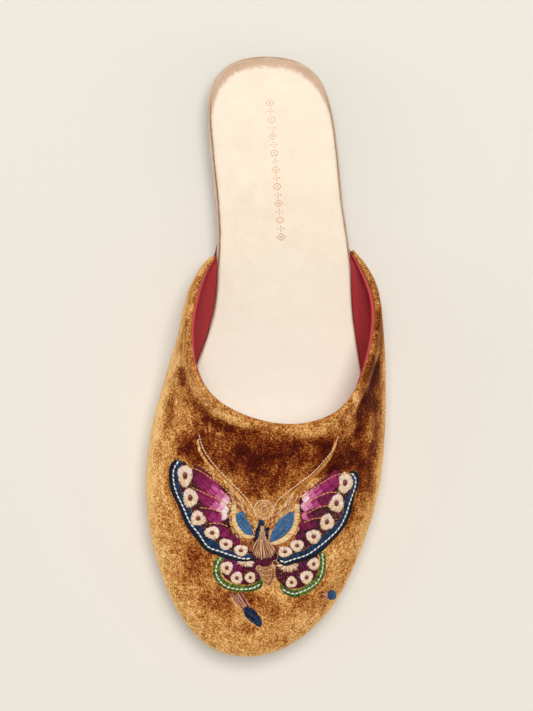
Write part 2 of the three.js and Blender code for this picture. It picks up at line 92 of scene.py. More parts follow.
BULGE = [
    (-23.2, 43.1), (-25.6, 41.3), (-27.6, 39.2), (-29.5, 36.8), (-31.2, 33.8), (-32.9, 30.3),
    (-34.4, 26.5), (-35.6, 21.8), (-36.7, 17.1), (-37.9, 11.3), (-39.3, 5.7), (-40.9, 0.2),
    (-42.7, -5.5), (-44.5, -11.5), (-46.3, -17.9), (-48.0, -24.3), (-49.4, -30.6), (-50.6, -37.0),
    (-51.5, -44.6), (-51.9, -52.8), (-51.7, -61.0), (-51.0, -69.3), (-49.6, -77.6), (-47.4, -86.0),
    (-44.6, -94.5), (-41.3, -102.4), (-37.7, -109.1), (-33.6, -115.1), (-29.1, -120.0), (-24.7, -123.5),
    (-20.1, -125.8), (-15.6, -127.1), (-11.2, -127.7), (-6.7, -127.9), (-2.2, -127.5), (2.3, -126.5),
    (6.9, -124.8), (11.4, -122.5), (15.9, -119.7), (20.4, -116.1), (24.9, -111.7), (29.4, -106.2),
    (33.6, -99.5), (37.7, -91.6), (41.3, -83.1), (44.3, -74.6), (46.8, -66.3), (48.8, -58.1),
    (50.2, -49.9), (51.1, -41.1), (51.6, -32.4), (51.8, -24.2), (51.9, -16.0), (51.8, -7.9),
    (51.5, 0.2), (51.1, 7.8), (50.5, 14.8), (49.7, 21.2), (48.5, 27.0), (46.9, 32.0), (44.9, 36.1),
    (42.6, 39.7), (40.3, 42.8), (38.1, 45.5)]
COLLAR = [
    (-22.0, 42.8, 13.2), (-24.3, 39.6, 17.3), (-27.1, 35.2, 22.4), (-29.5, 29.5, 28.0),
    (-31.3, 22.9, 33.0), (-32.5, 17.2, 36.4), (-33.0, 10.4, 39.8), (-32.8, 3.2, 43.1),
    (-31.9, -2.5, 45.4), (-30.0, -8.0, 47.3), (-26.7, -13.7, 49.1), (-21.6, -18.9, 50.7),
    (-15.4, -22.8, 51.8), (-8.9, -25.6, 52.6), (-2.5, -27.6, 53.2), (2.6, -28.5, 53.5),
    (7.9, -28.9, 53.6), (12.8, -28.6, 53.5), (17.9, -27.6, 53.2), (23.0, -25.8, 52.7),
    (27.8, -23.2, 52.0), (32.0, -19.4, 50.8), (35.3, -14.8, 49.3), (37.9, -9.9, 47.6),
    (40.1, -4.7, 45.8), (42.0, 0.8, 43.8), (43.8, 7.6, 40.8), (45.1, 14.8, 36.9), (45.5, 20.3, 33.5),
    (45.1, 25.5, 30.0), (43.9, 31.0, 25.8), (41.8, 36.5, 21.3), (39.2, 41.6, 16.9), (37.2, 45.4, 12.9)]
WIDTH_FIT = 0.984
MIDSOLE_EDGE = [(x * WIDTH_FIT, y) for x, y in MIDSOLE_EDGE]
BULGE = [(x * WIDTH_FIT, y) for x, y in BULGE]
COLLAR = [(x * WIDTH_FIT, y, z) for x, y, z in COLLAR]
FAN = [(0, 0), (0.04, 0.075), (0.085, 0.155), (0.125, 0.23), (0.18, 0.305), (0.24, 0.365),
       (0.32, 0.418), (0.41, 0.466), (0.5, 0.507), (0.59, 0.548), (0.68, 0.594), (0.76, 0.645),
       (0.82, 0.702), (0.875, 0.772), (0.915, 0.842), (0.96, 0.925), (1, 1)]
SLOPE = [(0, 82), (0.05, 80), (0.1, 76), (0.14, 69), (0.18, 60), (0.23, 50), (0.29, 40), (0.36, 30),
         (0.43, 24), (0.5, 21), (0.57, 24), (0.64, 30), (0.71, 40), (0.77, 51), (0.82, 62), (0.87, 71),
         (0.91, 77), (0.95, 80), (1, 82)]
BULGE_RISE = [(0, 2), (0.06, 9), (0.12, 12), (0.2, 12.5), (0.3, 12), (0.4, 9.5), (0.5, 8), (0.6, 9.5),
              (0.7, 12), (0.8, 12.5), (0.88, 12), (0.94, 9), (1, 2)]
RISE_PULL = [(0, 0.4), (0.1, 0.42), (0.2, 0.4), (0.3, 0.36), (0.4, 0.3), (0.5, 0.27), (0.6, 0.3),
             (0.7, 0.36), (0.8, 0.4), (0.9, 0.42), (1, 0.4)]
COLLAR_PULL = [(0, 0.3), (0.12, 0.34), (0.25, 0.4), (0.35, 0.46), (0.5, 0.5), (0.65, 0.46),
               (0.75, 0.4), (0.88, 0.34), (1, 0.3)]


# ------------------------------------------------------------------ curves
def curve_of(table):
    """Monotone cubic through a table of (x, y)."""
    t = np.array(table, float)
    x, y = t[:, 0], t[:, 1]
    h = np.diff(x)
    d = np.diff(y) / h
    m = np.zeros(len(x))
    for i in range(1, len(x) - 1):
        if d[i - 1] * d[i] > 0:
            m[i] = (h[i - 1] + h[i]) * 3 / ((2 * h[i] + h[i - 1]) / d[i - 1] + (h[i] + 2 * h[i - 1]) / d[i])
    m[0], m[-1] = d[0], d[-1]

    def f(q):
        q = np.clip(np.asarray(q, float), x[0], x[-1])
        i = np.clip(np.searchsorted(x, q, side="right") - 1, 0, len(h) - 1)
        s = (q - x[i]) / h[i]
        s2, s3 = s * s, s * s * s
        return ((2 * s3 - 3 * s2 + 1) * y[i] + (s3 - 2 * s2 + s) * h[i] * m[i]
                + (3 * s2 - 2 * s3) * y[i + 1] + (s3 - s2) * h[i] * m[i + 1])
    return f


def smooth_path(points, closed, per=8):
    p = np.array(points, float)
    n = len(p)
    out = []
    for i in range(n if closed else n - 1):
        p0, p1, p2, p3 = ((p[(i + k) % n] if closed else p[min(max(i + k, 0), n - 1)]) for k in (-1, 0, 1, 2))
        h, hb, ha = (max(1e-9, np.linalg.norm(b - a)) for a, b in ((p1, p2), (p0, p1), (p2, p3)))
        d = (p2 - p1) / h
        db = (p1 - p0) / hb if hb > 1e-6 else d
        da = (p3 - p2) / ha if ha > 1e-6 else d
        m1, m2 = (d * hb + db * h) / (h + hb), (d * ha + da * h) / (h + ha)
        for j in range(per):
            t = j / per
            t2, t3 = t * t, t ** 3
            out.append((2 * t3 - 3 * t2 + 1) * p1 + (t3 - 2 * t2 + t) * h * m1 + (3 * t2 - 2 * t3) * p2 + (t3 - t2) * h * m2)
    if not closed:
        out.append(p[-1])
    return np.array(out)


def path_at(path):
    s = np.concatenate([[0], np.cumsum(np.linalg.norm(np.diff(path[:, :2], axis=0), axis=1))])
    s /= s[-1]
    return lambda share: np.stack([np.interp(np.clip(share, 0, 1), s, path[:, k]) for k in range(path.shape[1])], -1)


def resample(path, step=None, count=None, closed=False):
    """Evenly spaced points along a dense path."""
    p = np.vstack([path, path[:1]]) if closed else path
    s = np.concatenate([[0], np.cumsum(np.linalg.norm(np.diff(p, axis=0), axis=1))])
    n = count or max(2, int(round(s[-1] / step)) + 1)
    q = np.linspace(0, s[-1], n, endpoint=not closed)
    return np.stack([np.interp(q, s, p[:, k]) for k in range(p.shape[1])], -1)


def smoothstep(a, b, x):
    t = np.clip((np.asarray(x, float) - a) / (b - a), 0, 1)
    return t * t * (3 - 2 * t)


shank_of = curve_of(SHANK)


def sole_z(y):
    return shank_of(HEEL_BACK_Y - np.asarray(y, float))


# ------------------------------------------------------------------ meshes
def mesh_object(name, verts, faces, materials, smooth=True, face_material=None, sharp_deg=None):
    me = bpy.data.meshes.new(name)
    me.from_pydata([tuple(v) for v in verts], [], [tuple(int(i) for i in f) for f in faces])
    me.update()
    ob = bpy.data.objects.new(name, me)
    scene.collection.objects.link(ob)
    for m in materials if isinstance(materials, (list, tuple)) else [materials]:
        me.materials.append(m)
    if face_material is not None:
        me.polygons.foreach_set("material_index", np.asarray(face_material, np.int32))
    me.polygons.foreach_set("use_smooth", np.full(len(me.polygons), smooth))
    if sharp_deg is not None:
        me.set_sharp_from_angle(angle=math.radians(sharp_deg))
    return ob


def loft(sections, cap_ends=True):
    """A closed body from closed sections, each an (n, 3) loop, in order along the body. The ends are
    closed by a strip across each end section, whose two halves run side by side."""
    k, n = len(sections), len(sections[0])
    verts = np.concatenate(sections)
    faces = []
    for i in range(k - 1):
        for j in range(n):
            a, b = i * n + j, i * n + (j + 1) % n
            faces.append((a, b, b + n, a + n))
    if cap_ends:
        for base, flip in ((0, True), ((k - 1) * n, False)):
            lo, hi = 0, n - 1
            while hi - lo > 1:
                if hi - lo == 2:
                    f = (base + lo, base + lo + 1, base + hi)
                    lo += 1
                else:
                    f = (base + lo, base + lo + 1, base + hi - 1, base + hi)
                    lo += 1
                    hi -= 1
                faces.append(f[::-1] if flip else f)
    return verts, faces


def points_noise(p, scale, seed=0.0):
    """Smooth noise in -1..1 at points, with features about scale apart."""
    q = np.asarray(p, float) / scale + seed
    return np.array([noise.noise(Vector(v)) for v in q])


# ------------------------------------------------------------------ materials
def srgb(r, g, b):
    c = np.array([r, g, b], float) / 255
    return tuple(np.where(c <= 0.04045, c / 12.92, ((c + 0.055) / 1.055) ** 2.4)) + (1.0,)


class Shader:
    """A Principled material, with small helpers for its node tree."""

    def __init__(self, name, **sockets):
        self.mat = bpy.data.materials.new(name)
        self.mat.use_nodes = True
        self.t = self.mat.node_tree
        self.bsdf = self.t.nodes["Principled BSDF"] if "Principled BSDF" in self.t.nodes else self.t.nodes.new("ShaderNodeBsdfPrincipled")
        for key, value in sockets.items():
            self.bsdf.inputs[key.replace("_", " ")].default_value = value
        self.coord = self.node("ShaderNodeTexCoord").outputs["Object"]

    def node(self, kind, **inputs):
        n = self.t.nodes.new(kind)
        for key, value in inputs.items():
            sock = n.inputs[key.replace("_", " ")]
            if isinstance(value, bpy.types.NodeSocket):
                self.t.links.new(value, sock)
            else:
                sock.default_value = value
        return n

    def link(self, a, b):
        self.t.links.new(a, b)

    def noise(self, mm, detail=3.0, rough=0.55, distort=0.0, vector=None):
        n = self.node("ShaderNodeTexNoise", Vector=vector or self.coord, Scale=1000.0 / mm, Detail=detail, Roughness=rough, Distortion=distort)
        return n.outputs["Fac"]

    def stretched(self, sx, sy, sz, rot=(0, 0, 0)):
        n = self.node("ShaderNodeMapping", Vector=self.coord)
        n.inputs["Scale"].default_value = (sx, sy, sz)
        n.inputs["Rotation"].default_value = rot
        return n.outputs["Vector"]

    def math(self, op, a, b=0.0, clamp=False):
        n = self.t.nodes.new("ShaderNodeMath")
        n.operation, n.use_clamp = op, clamp
        for i, v in enumerate((a, b)):
            if isinstance(v, bpy.types.NodeSocket):
                self.link(v, n.inputs[i])
            else:
                n.inputs[i].default_value = v
        return n.outputs[0]

    def remap(self, v, a, b, c, d):
        n = self.node("ShaderNodeMapRange")
        for i, x in enumerate((v, a, b, c, d)):
            if isinstance(x, bpy.types.NodeSocket):
                self.link(x, n.inputs[i])
            else:
                n.inputs[i].default_value = x
        return n.outputs[0]

    def ramp(self, fac, stops):
        n = self.t.nodes.new("ShaderNodeValToRGB")
        e = n.color_ramp.elements
        while len(e) < len(stops):
            e.new(0.5)
        for el, (pos, col) in zip(e, stops):
            el.position, el.color = pos, col
        self.link(fac, n.inputs[0])
        return n.outputs[0]

    def mix(self, fac, a, b, kind="MIX"):
        n = self.t.nodes.new("ShaderNodeMix")
        n.data_type, n.blend_type = "RGBA", kind
        for sock, v in ((n.inputs[0], fac), (n.inputs[6], a), (n.inputs[7], b)):
            if isinstance(v, bpy.types.NodeSocket):
                self.link(v, sock)
            else:
                sock.default_value = v
        return n.outputs[2]

    def attribute(self, name, colour=False):
        n = self.t.nodes.new("ShaderNodeAttribute")
        n.attribute_name = name
        return n.outputs["Color" if colour else "Fac"]

    def bump(self, height, strength, mm, normal=None):
        n = self.node("ShaderNodeBump", Height=height, Strength=strength, Distance=mm * 0.001)
        if normal is not None:
            self.link(normal, n.inputs["Normal"])
        return n.outputs["Normal"]

    def set(self, socket, value):
        self.link(value, self.bsdf.inputs[socket])


def velvet_material():
    m = Shader("crushed_velvet", Roughness=0.80, Sheen_Weight=0.22, Sheen_Roughness=0.30,
               Sheen_Tint=srgb(255, 190, 105), Specular_IOR_Level=0.10)
    # the nap attribute holds the cloth's own tone together with painted shade and painted highlights
    nap_and_painted_light = m.attribute("nap_and_painted_light")
    speck = m.noise(0.85, 2.0, 0.75)
    fine = m.noise(0.45, 1.0, 0.5)
    mott = m.noise(3.6, 4.0, 0.68, 0.8)
    brushed = m.noise(1.6, 3.0, 0.65, 0.4, m.stretched(1.0, 0.34, 1.0))
    v = m.math("ADD", nap_and_painted_light, m.remap(speck, 0.3, 0.7, -0.30, 0.30))
    v = m.math("ADD", v, m.remap(fine, 0.3, 0.7, -0.14, 0.14))
    v = m.math("ADD", v, m.remap(brushed, 0.3, 0.7, -0.10, 0.10))
    v = m.math("ADD", v, m.remap(mott, 0.3, 0.7, -0.08, 0.08), clamp=True)
    col = m.ramp(v, [(0.0, srgb(60, 8, 1)), (0.18, srgb(92, 26, 4)), (0.36, srgb(126, 56, 14)),
                     (0.54, srgb(170, 102, 42)), (0.72, srgb(208, 148, 78)), (0.88, srgb(233, 178, 108)),
                     (1.0, srgb(252, 208, 142))])
    m.set("Base Color", col)
    b = m.bump(speck, 0.55, 0.35)
    b = m.bump(brushed, 0.3, 0.3, b)
    b = m.bump(m.noise(3.0, 3.0, 0.6), 0.35, 0.6, b)
    m.set("Normal", b)
    return m.mat


def leather_material(name, dark, light, rough, metallic=0.0, grain=0.9, grain_strength=0.25, coat=0.0, wear=0.0, streak=None):
    m = Shader(name, Metallic=metallic, Coat_Weight=coat, Coat_Roughness=0.3)
    pores = m.node("ShaderNodeTexVoronoi", Vector=m.coord, Scale=1000.0 / grain)
    pores.feature = "F1"
    tone = m.noise(14.0, 4.0, 0.6)
    fine = m.noise(0.8, 3.0, 0.6)
    f = m.math("ADD", m.remap(tone, 0.3, 0.7, 0.2, 0.8), m.remap(fine, 0.3, 0.7, -0.15, 0.15), clamp=True)
    m.set("Base Color", m.ramp(f, [(0.0, dark), (1.0, light)]))
    m.set("Roughness", m.remap(fine, 0.3, 0.7, rough - 0.06, rough + 0.08))
    b = m.bump(pores.outputs["Distance"], grain_strength, 0.12)
    b = m.bump(m.noise(5.0, 4.0, 0.55), 0.25, 0.35, b)
    m.set("Normal", b)
    return m.mat


def insole_material():
    m = Shader("rose_gold_leather", Metallic=0.06, Specular_IOR_Level=0.30)
    fine = m.noise(0.7, 3.0, 0.7)
    tone = m.noise(9.0, 5.0, 0.65, 0.4)
    f = m.math("ADD", m.remap(tone, 0.3, 0.7, 0.25, 0.75), m.remap(fine, 0.3, 0.7, -0.28, 0.28), clamp=True)
    centre = m.ramp(f, [(0.0, srgb(233, 213, 190)), (0.5, srgb(241, 224, 203)), (1.0, srgb(246, 232, 213))])
    # the rim colour is painted shade on the rounded edge of the pad
    rim_shade = m.ramp(f, [(0.0, srgb(196, 160, 132)), (1.0, srgb(222, 190, 164))])
    # lighter towards the front: painted light where the vamp would shade the pad
    centre = m.mix(m.attribute("front_painted_light"), centre, srgb(255, 251, 235))
    # the crease colour is painted shade in the groove between the pad and the wrapped board
    m.set("Base Color", m.mix(m.attribute("crease_shade"), m.mix(m.attribute("rim_shade"), centre, rim_shade), srgb(150, 112, 82)))
    m.set("Roughness", m.remap(fine, 0.3, 0.7, 0.44, 0.60))
    b = m.bump(fine, 0.35, 0.12)
    b = m.bump(m.noise(1.9, 4.0, 0.65, 0.6), 0.3, 0.2, b)
    b = m.bump(m.noise(7.0, 3.0, 0.6, 0.6), 0.25, 0.5, b)
    m.set("Normal", b)
    return m.mat


def thread_material():
    m = Shader("silk_thread", Roughness=0.46, Specular_IOR_Level=0.22)
    col = m.attribute("thread", colour=True)
    m.set("Base Color", m.mix(m.remap(m.noise(0.5, 2.0, 0.6), 0.3, 0.7, 0.0, 0.16), col, (0.015, 0.006, 0.01, 1), "MIX"))
    m.set("Normal", m.bump(m.noise(0.25, 1.0, 0.5, 0.0), 0.2, 0.05))
    return m.mat


VELVET = velvet_material()
LINING = leather_material("crimson_lining", srgb(164, 4, 20), srgb(194, 10, 30), 0.58, grain=0.8, grain_strength=0.15)
# a lighter copy of the lining for its folded edge: a painted highlight on the fold
LINING_FOLD_HIGHLIGHT = leather_material("lining_fold_highlight", srgb(196, 62, 66), srgb(216, 92, 88), 0.5, grain=0.8, grain_strength=0.15)
INSOLE = insole_material()


def shaded_towards_foot(mat, low_z, high_z, colour, most):
    """Darkens a leather towards its foot, where little light reaches it: painted shade."""
    t = mat.node_tree
    base = t.nodes["Principled BSDF"].inputs["Base Color"]
    old = base.links[0].from_socket
    place, split = t.nodes.new("ShaderNodeTexCoord"), t.nodes.new("ShaderNodeSeparateXYZ")
    t.links.new(place.outputs["Object"], split.inputs[0])
    span, blend = t.nodes.new("ShaderNodeMapRange"), t.nodes.new("ShaderNodeMix")
    t.links.new(split.outputs["Z"], span.inputs[0])
    for i, x in enumerate((low_z, high_z, most, 0.0)):
        span.inputs[i + 1].default_value = x
    blend.data_type = "RGBA"
    t.links.new(span.outputs[0], blend.inputs[0])
    t.links.new(old, blend.inputs[6])
    blend.inputs[7].default_value = colour
    t.links.new(blend.outputs[2], base)


# painted shade: the lining darker at its foot, next to the insole
shaded_towards_foot(LINING, 0.016, 0.027, srgb(122, 0, 8), 0.30)
WRAP = leather_material("rose_gold_wrap", srgb(208, 170, 142), srgb(236, 206, 182), 0.38, metallic=0.3, grain=0.8, grain_strength=0.2)
SOLE = leather_material("tan_sole_leather", srgb(150, 100, 62), srgb(186, 134, 90), 0.5, grain=1.2, grain_strength=0.15)
SOLE_EDGE = leather_material("waxed_edge", srgb(44, 26, 20), srgb(74, 46, 34), 0.42, grain=0.9, grain_strength=0.12, coat=0.3)
HEEL = leather_material("stacked_heel", srgb(34, 22, 19), srgb(62, 42, 34), 0.42, grain=0.9, grain_strength=0.12, coat=0.35)
LIFT = leather_material("heel_lift", srgb(20, 18, 18), srgb(36, 32, 31), 0.7, grain=0.7, grain_strength=0.2)
THREAD = thread_material()
FOIL = leather_material("gold_foil", srgb(178, 142, 110), srgb(206, 172, 140), 0.42, metallic=0.25, grain=0.5, grain_strength=0.1)

# ------------------------------------------------------------------ sole outline
EDGE = smooth_path(MIDSOLE_EDGE, True, 12)


def matched_ring(half):
    """The board's edge as inner and outer points at the same y, close together at both ends."""
    back, toe = int(np.argmax(EDGE[:, 1])), int(np.argmin(EDGE[:, 1]))
    n = len(EDGE)
    inner = EDGE[[(back + i) % n for i in range((toe - back) % n + 1)]]
    outer = EDGE[[(back - i) % n for i in range((back - toe) % n + 1)]]
    y = EDGE[back, 1] + (EDGE[toe, 1] - EDGE[back, 1]) * (1 - np.cos(np.pi * np.arange(half + 1) / half)) / 2
    xi = np.interp(-y, -inner[:, 1], inner[:, 0])
    xo = np.interp(-y, -outer[:, 1], outer[:, 0])
    xi[0] = xo[0] = EDGE[back, 0]
    xi[-1] = xo[-1] = EDGE[toe, 0]
    ring = np.vstack([np.stack([xi, y], 1), np.stack([xo, y], 1)[-2:0:-1]])
    d = np.roll(ring, -1, 0) - np.roll(ring, 1, 0)
    d /= np.linalg.norm(d, axis=1)[:, None]
    return ring, np.stack([d[:, 1], -d[:, 0]], 1)


def layer(name, rings, half, materials, mat_of=None):
    ring, out = matched_ring(half)
    n = len(ring)
    verts, faces, fmat = [], [], []
    for off, z in rings:
        o = off(ring[:, 1]) if callable(off) else off
        p = ring + out * np.reshape(o, (-1, 1))
        verts.append(np.column_stack([p, z(p[:, 1])]))
    for k in range(len(rings) - 1):
        for i in range(n):
            j = (i + 1) % n
            faces.append((k * n + i, k * n + j, (k + 1) * n + j, (k + 1) * n + i))
            fmat.append(1 if mat_of and mat_of(k) else 0)
    for base, flip in ((0, True), ((len(rings) - 1) * n, False)):
        for i in range(half):
            f = [base + i, base + i + 1, base + (n - i - 1) % n, base + (n - i) % n]
            f = list(dict.fromkeys(f))
            faces.append(f[::-1] if flip else f)
            fmat.append(0 if flip else (1 if mat_of and mat_of(99) else 0))
    return mesh_object(name, put(np.vstack(verts)), faces, materials, True, fmat, 50)


def outsole_edge(y):
    return (WALL_T + GAP - 0.3) + (-0.5 - (WALL_T + GAP - 0.3)) * smoothstep(34, 54, y)


def mid_z(y):
    return sole_z(y) + OUTSOLE_T + GAP


def in_z(y):
    return mid_z(y) + MIDSOLE_T + GAP


def round_rings(off, z, t, r, steps=4, top=True, bottom=True):
    """Rings for a flat layer with quarter-round edges."""
    rings = []
    f = off if callable(off) else (lambda y: np.full(np.shape(y), float(off)))
    if bottom:
        for a in np.linspace(0, math.pi / 2, steps):
            rings.append((lambda y, a=a: f(y) - r * (1 - math.sin(a)), lambda y, a=a: z(y) + r * (1 - math.cos(a))))
    else:
        rings.append((f, z))
    if top:
        for a in np.linspace(0, math.pi / 2, steps):
            rings.append((lambda y, a=a: f(y) - r * (1 - math.cos(a)), lambda y, a=a: z(y) + t - r * (1 - math.sin(a))))
    else:
        rings.append((f, lambda y: z(y) + t))
    return rings


outsole = layer("outsole_leather", round_rings(outsole_edge, sole_z, OUTSOLE_T, 0.6, 4), 200, [SOLE, SOLE_EDGE], lambda k: True)
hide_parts("outsole")
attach(outsole, "root")
midsole = layer("wrapped_board", round_rings(0.0, mid_z, MIDSOLE_T, 0.9, 6), 200, [WRAP])
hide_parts("midsole")
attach(midsole, "root")


# ------------------------------------------------------------------ padded insole
def tucked_in(y):
    """Inside the upper the lining comes over the edge of the insole."""
    return 1.5 * smoothstep(42, 14, y) * smoothstep(-60, -20, y)


def build_insole():
    half, cols, inset, r, side = 250, 104, 0.85, 1.6, 1.6
    ring, out = matched_ring(half)
    p = ring - out * (inset + tucked_in(ring[:, 1]))[:, None]
    n = len(p)
    left, right_ = p[: half + 1], np.vstack([p[:1], p[half:][::-1]])
    v = (1 - np.cos(np.pi * np.arange(cols + 1) / cols)) / 2
    grid = left[:, None] + (right_ - left)[:, None] * v[None, :, None]
    flat = grid.reshape(-1, 2)
    edge = resample(np.vstack([p, p[:1]]), step=0.8)
    d = np.empty(len(flat))
    for a in range(0, len(flat), 4000):
        d[a:a + 4000] = np.sqrt(((flat[a:a + 4000, None] - edge[None]) ** 2).sum(-1)).min(1)
    # the pad is softer and slopes further at the back of the heel
    soft = smoothstep(96, 126, flat[:, 1])
    rr = r + 3.2 * soft
    drop = (INSOLE_T - side)
    t = np.clip(1 - d / rr, 0, 1)
    h = INSOLE_T - drop * (1 - np.sqrt(np.clip(1 - t ** 2, 0, 1)))
    h += 0.45 * (1 - np.exp(-np.clip(d - 1.5, 0, None) / 9.0))
    h += 0.10 * points_noise(np.column_stack([flat, np.zeros(len(flat))]), 17.0, 3.1) * smoothstep(1, 6, d)
    # fine puckers where the leather turns over the back edge
    ang = np.arctan2(flat[:, 1] - 100, flat[:, 0] - 1)
    pucker = points_noise(np.column_stack([ang * 16, d * 0.22, np.zeros(len(flat))]), 1.0, 8.0)
    h += 0.13 * pucker * soft * smoothstep(1.0, 3.0, d) * (1 - smoothstep(6, 12, d))
    h += 0.05 * points_noise(np.column_stack([flat * (1.0, 0.8), np.zeros(len(flat))]), 3.2, 6.6) * smoothstep(1, 4, d)
    base = in_z(flat[:, 1])
    top = np.column_stack([flat, base + np.where(d < 1e-3, side, h)])
    bottom = np.column_stack([flat, base])
    rows, cw = half + 1, cols + 1
    faces = []
    for i in range(rows - 1):
        for j in range(cols):
            a = i * cw + j
            q = (a, a + cw, a + cw + 1, a + 1)
            faces.append(q)
            faces.append(tuple(x + rows * cw for x in q[::-1]))
    off = rows * cw
    for i in range(rows - 1):
        for j, flip in ((0, False), (cols, True)):
            a = i * cw + j
            q = (a, a + off, a + cw + off, a + cw)
            faces.append(q[::-1] if flip else q)
    me = bpy.data.meshes.new("insole_pad")
    me.from_pydata([tuple(x) for x in put(np.vstack([top, bottom]))], [], faces)
    # a band of painted shade round the rounded edge, widest at the back of the heel and lighter again at its very edge
    # there
    ragged = 0.8 * points_noise(np.column_stack([ang * 30, d * 0.3, np.zeros(len(flat))]), 1.0, 2.4)
    ragged = ragged + 0.9 * points_noise(np.column_stack([flat, np.zeros(len(flat))]), 0.9, 5.4)
    band = -0.4 + (3.6 + ragged) * soft
    rim_shade = np.concatenate([(1 - smoothstep(band, band + 0.7 + 1.8 * soft, d)) * (1 - 0.55 * smoothstep(1.1, 0.2, d) * soft), np.ones(len(flat))])
    # a thin line of painted shade in the groove along the edge, faint at the back of the heel
    crease_shade = np.concatenate([smoothstep(0.85, 0.25, d) * (1 - 0.9 * soft), np.ones(len(flat))])
    a = me.attributes.new("rim_shade", "FLOAT", "POINT")
    a.data.foreach_set("value", rim_shade.astype(np.float32))
    # painted light: lighter towards the front, where the vamp would shade the pad
    a = me.attributes.new("front_painted_light", "FLOAT", "POINT")
    front_painted_light = np.concatenate([0.85 * smoothstep(70, -22, flat[:, 1]), np.zeros(len(flat))])
    a.data.foreach_set("value", front_painted_light.astype(np.float32))
    a = me.attributes.new("crease_shade", "FLOAT", "POINT")
    a.data.foreach_set("value", crease_shade.astype(np.float32))
    import bmesh
    bm = bmesh.new()
    bm.from_mesh(me)
    bmesh.ops.remove_doubles(bm, verts=bm.verts, dist=2e-6)
    bmesh.ops.dissolve_degenerate(bm, edges=bm.edges, dist=1e-6)
    bmesh.ops.recalc_face_normals(bm, faces=bm.faces)
    bm.to_mesh(me)
    bm.free()
    me.materials.append(INSOLE)
    me.polygons.foreach_set("use_smooth", np.ones(len(me.polygons), bool))
    me.set_sharp_from_angle(angle=math.radians(60))
    ob = bpy.data.objects.new("insole_pad", me)
    scene.collection.objects.link(ob)
    return ob


insole = build_insole()
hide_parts("insole")
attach(insole, "root")


# ------------------------------------------------------------------ heel block
def build_heel():
    half = 160
    ring, out = matched_ring(half)
    y_breast = HEEL_BACK_Y - HEEL_LENGTH

    def outline(inset):
        p = ring - out * inset

        def clip(q):
            k = int(np.argmax(q[:, 1] < y_breast))
            a, b = q[k - 1], q[k]
            t = (a[1] - y_breast) / (a[1] - b[1])
            return np.vstack([q[:k], [a[0] + (b[0] - a[0]) * t, y_breast]])
        a, b = clip(p[: half + 1]), clip(np.vstack([p[:1], p[half:][::-1]]))
        a, b = resample(a, count=90), resample(b, count=90)
        t = np.linspace(0, 1, 42)[1:-1]
        breast = np.column_stack([a[-1, 0] + (b[-1, 0] - a[-1, 0]) * t, y_breast + BREAST_HOLLOW * 4 * t * (1 - t)])
        return np.vstack([a, breast, b[1:][::-1]])

    # a rubber lift, then stacked layers with a fine groove between them
    levels, mats = [], []
    groove = [0.0, 0.25, 1.0]
    z_lift = 3.0
    spec = [(1.9, 0.0, 1), (1.25, 0.5, 1), (1.1, z_lift - 0.15, 1), (1.35, z_lift, 0), (1.1, z_lift + 0.15, 0)]
    for off, z, m in spec:
        levels.append((outline(off), z, None))
        mats.append(m)
    for f in (0.33, 0.66):
        for dz, dd in ((-0.12, 0.0), (0.0, 0.14), (0.12, 0.0)):
            levels.append((outline(1.1 + dd), f, dz))
            mats.append(0)
    levels.append((outline(1.1), 1.0, -0.15))
    levels.append((outline(1.25), 1.0, 0.0))
    mats += [0, 0]
    n = len(levels[0][0])
    verts = []
    for p, z, dz in levels:
        if dz is None:
            zz = np.full(n, z)
        else:
            top = sole_z(p[:, 1]) - GAP
            zz = z_lift + (top - z_lift) * z + dz
        verts.append(np.column_stack([p, zz]))
    faces, fm = [], []
    for k in range(len(levels) - 1):
        for i in range(n):
            j = (i + 1) % n
            faces.append((k * n + i, k * n + j, (k + 1) * n + j, (k + 1) * n + i))
            fm.append(mats[k + 1] if k + 1 < len(mats) else 0)
    faces.append(tuple(range(n - 1, -1, -1)))
    fm.append(1)
    base = (len(levels) - 1) * n
    faces.append(tuple(range(base, base + n)))
    fm.append(0)
    return mesh_object("heel_block", put(np.vstack(verts)), faces, [HEEL, LIFT], True, fm, 35)


heel = build_heel()
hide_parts("heel")
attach(heel, "root")

# ------------------------------------------------------------------ upper: columns of the wall
bulge_at, collar_at = path_at(smooth_path(BULGE, False, 12)), path_at(smooth_path(COLLAR, False, 12))
fan_of, slope_of, rise_of = curve_of(FAN), curve_of(SLOPE), curve_of(BULGE_RISE)
risepull_of, collarpull_of = curve_of(RISE_PULL), curve_of(COLLAR_PULL)
wall_of = curve_of([(0, WALL_END_T), (0.05, WALL_T), (0.95, WALL_T), (1, WALL_END_T)])


def moving_average(a, w):
    k = np.ones(2 * w + 1) / (2 * w + 1)
    pad = np.vstack([2 * a[0] - a[w:0:-1], a, 2 * a[-1] - a[-2:-w - 2:-1]])
    return np.stack([np.convolve(pad[:, i], k, "valid") for i in range(a.shape[1])], 1)


def bezier(p0, p1, p2, p3, t):
    s = 1 - t
    return (s ** 3)[:, None] * p0 + (3 * s * s * t)[:, None] * p1 + (3 * s * t * t)[:, None] * p2 + (t ** 3)[:, None] * p3


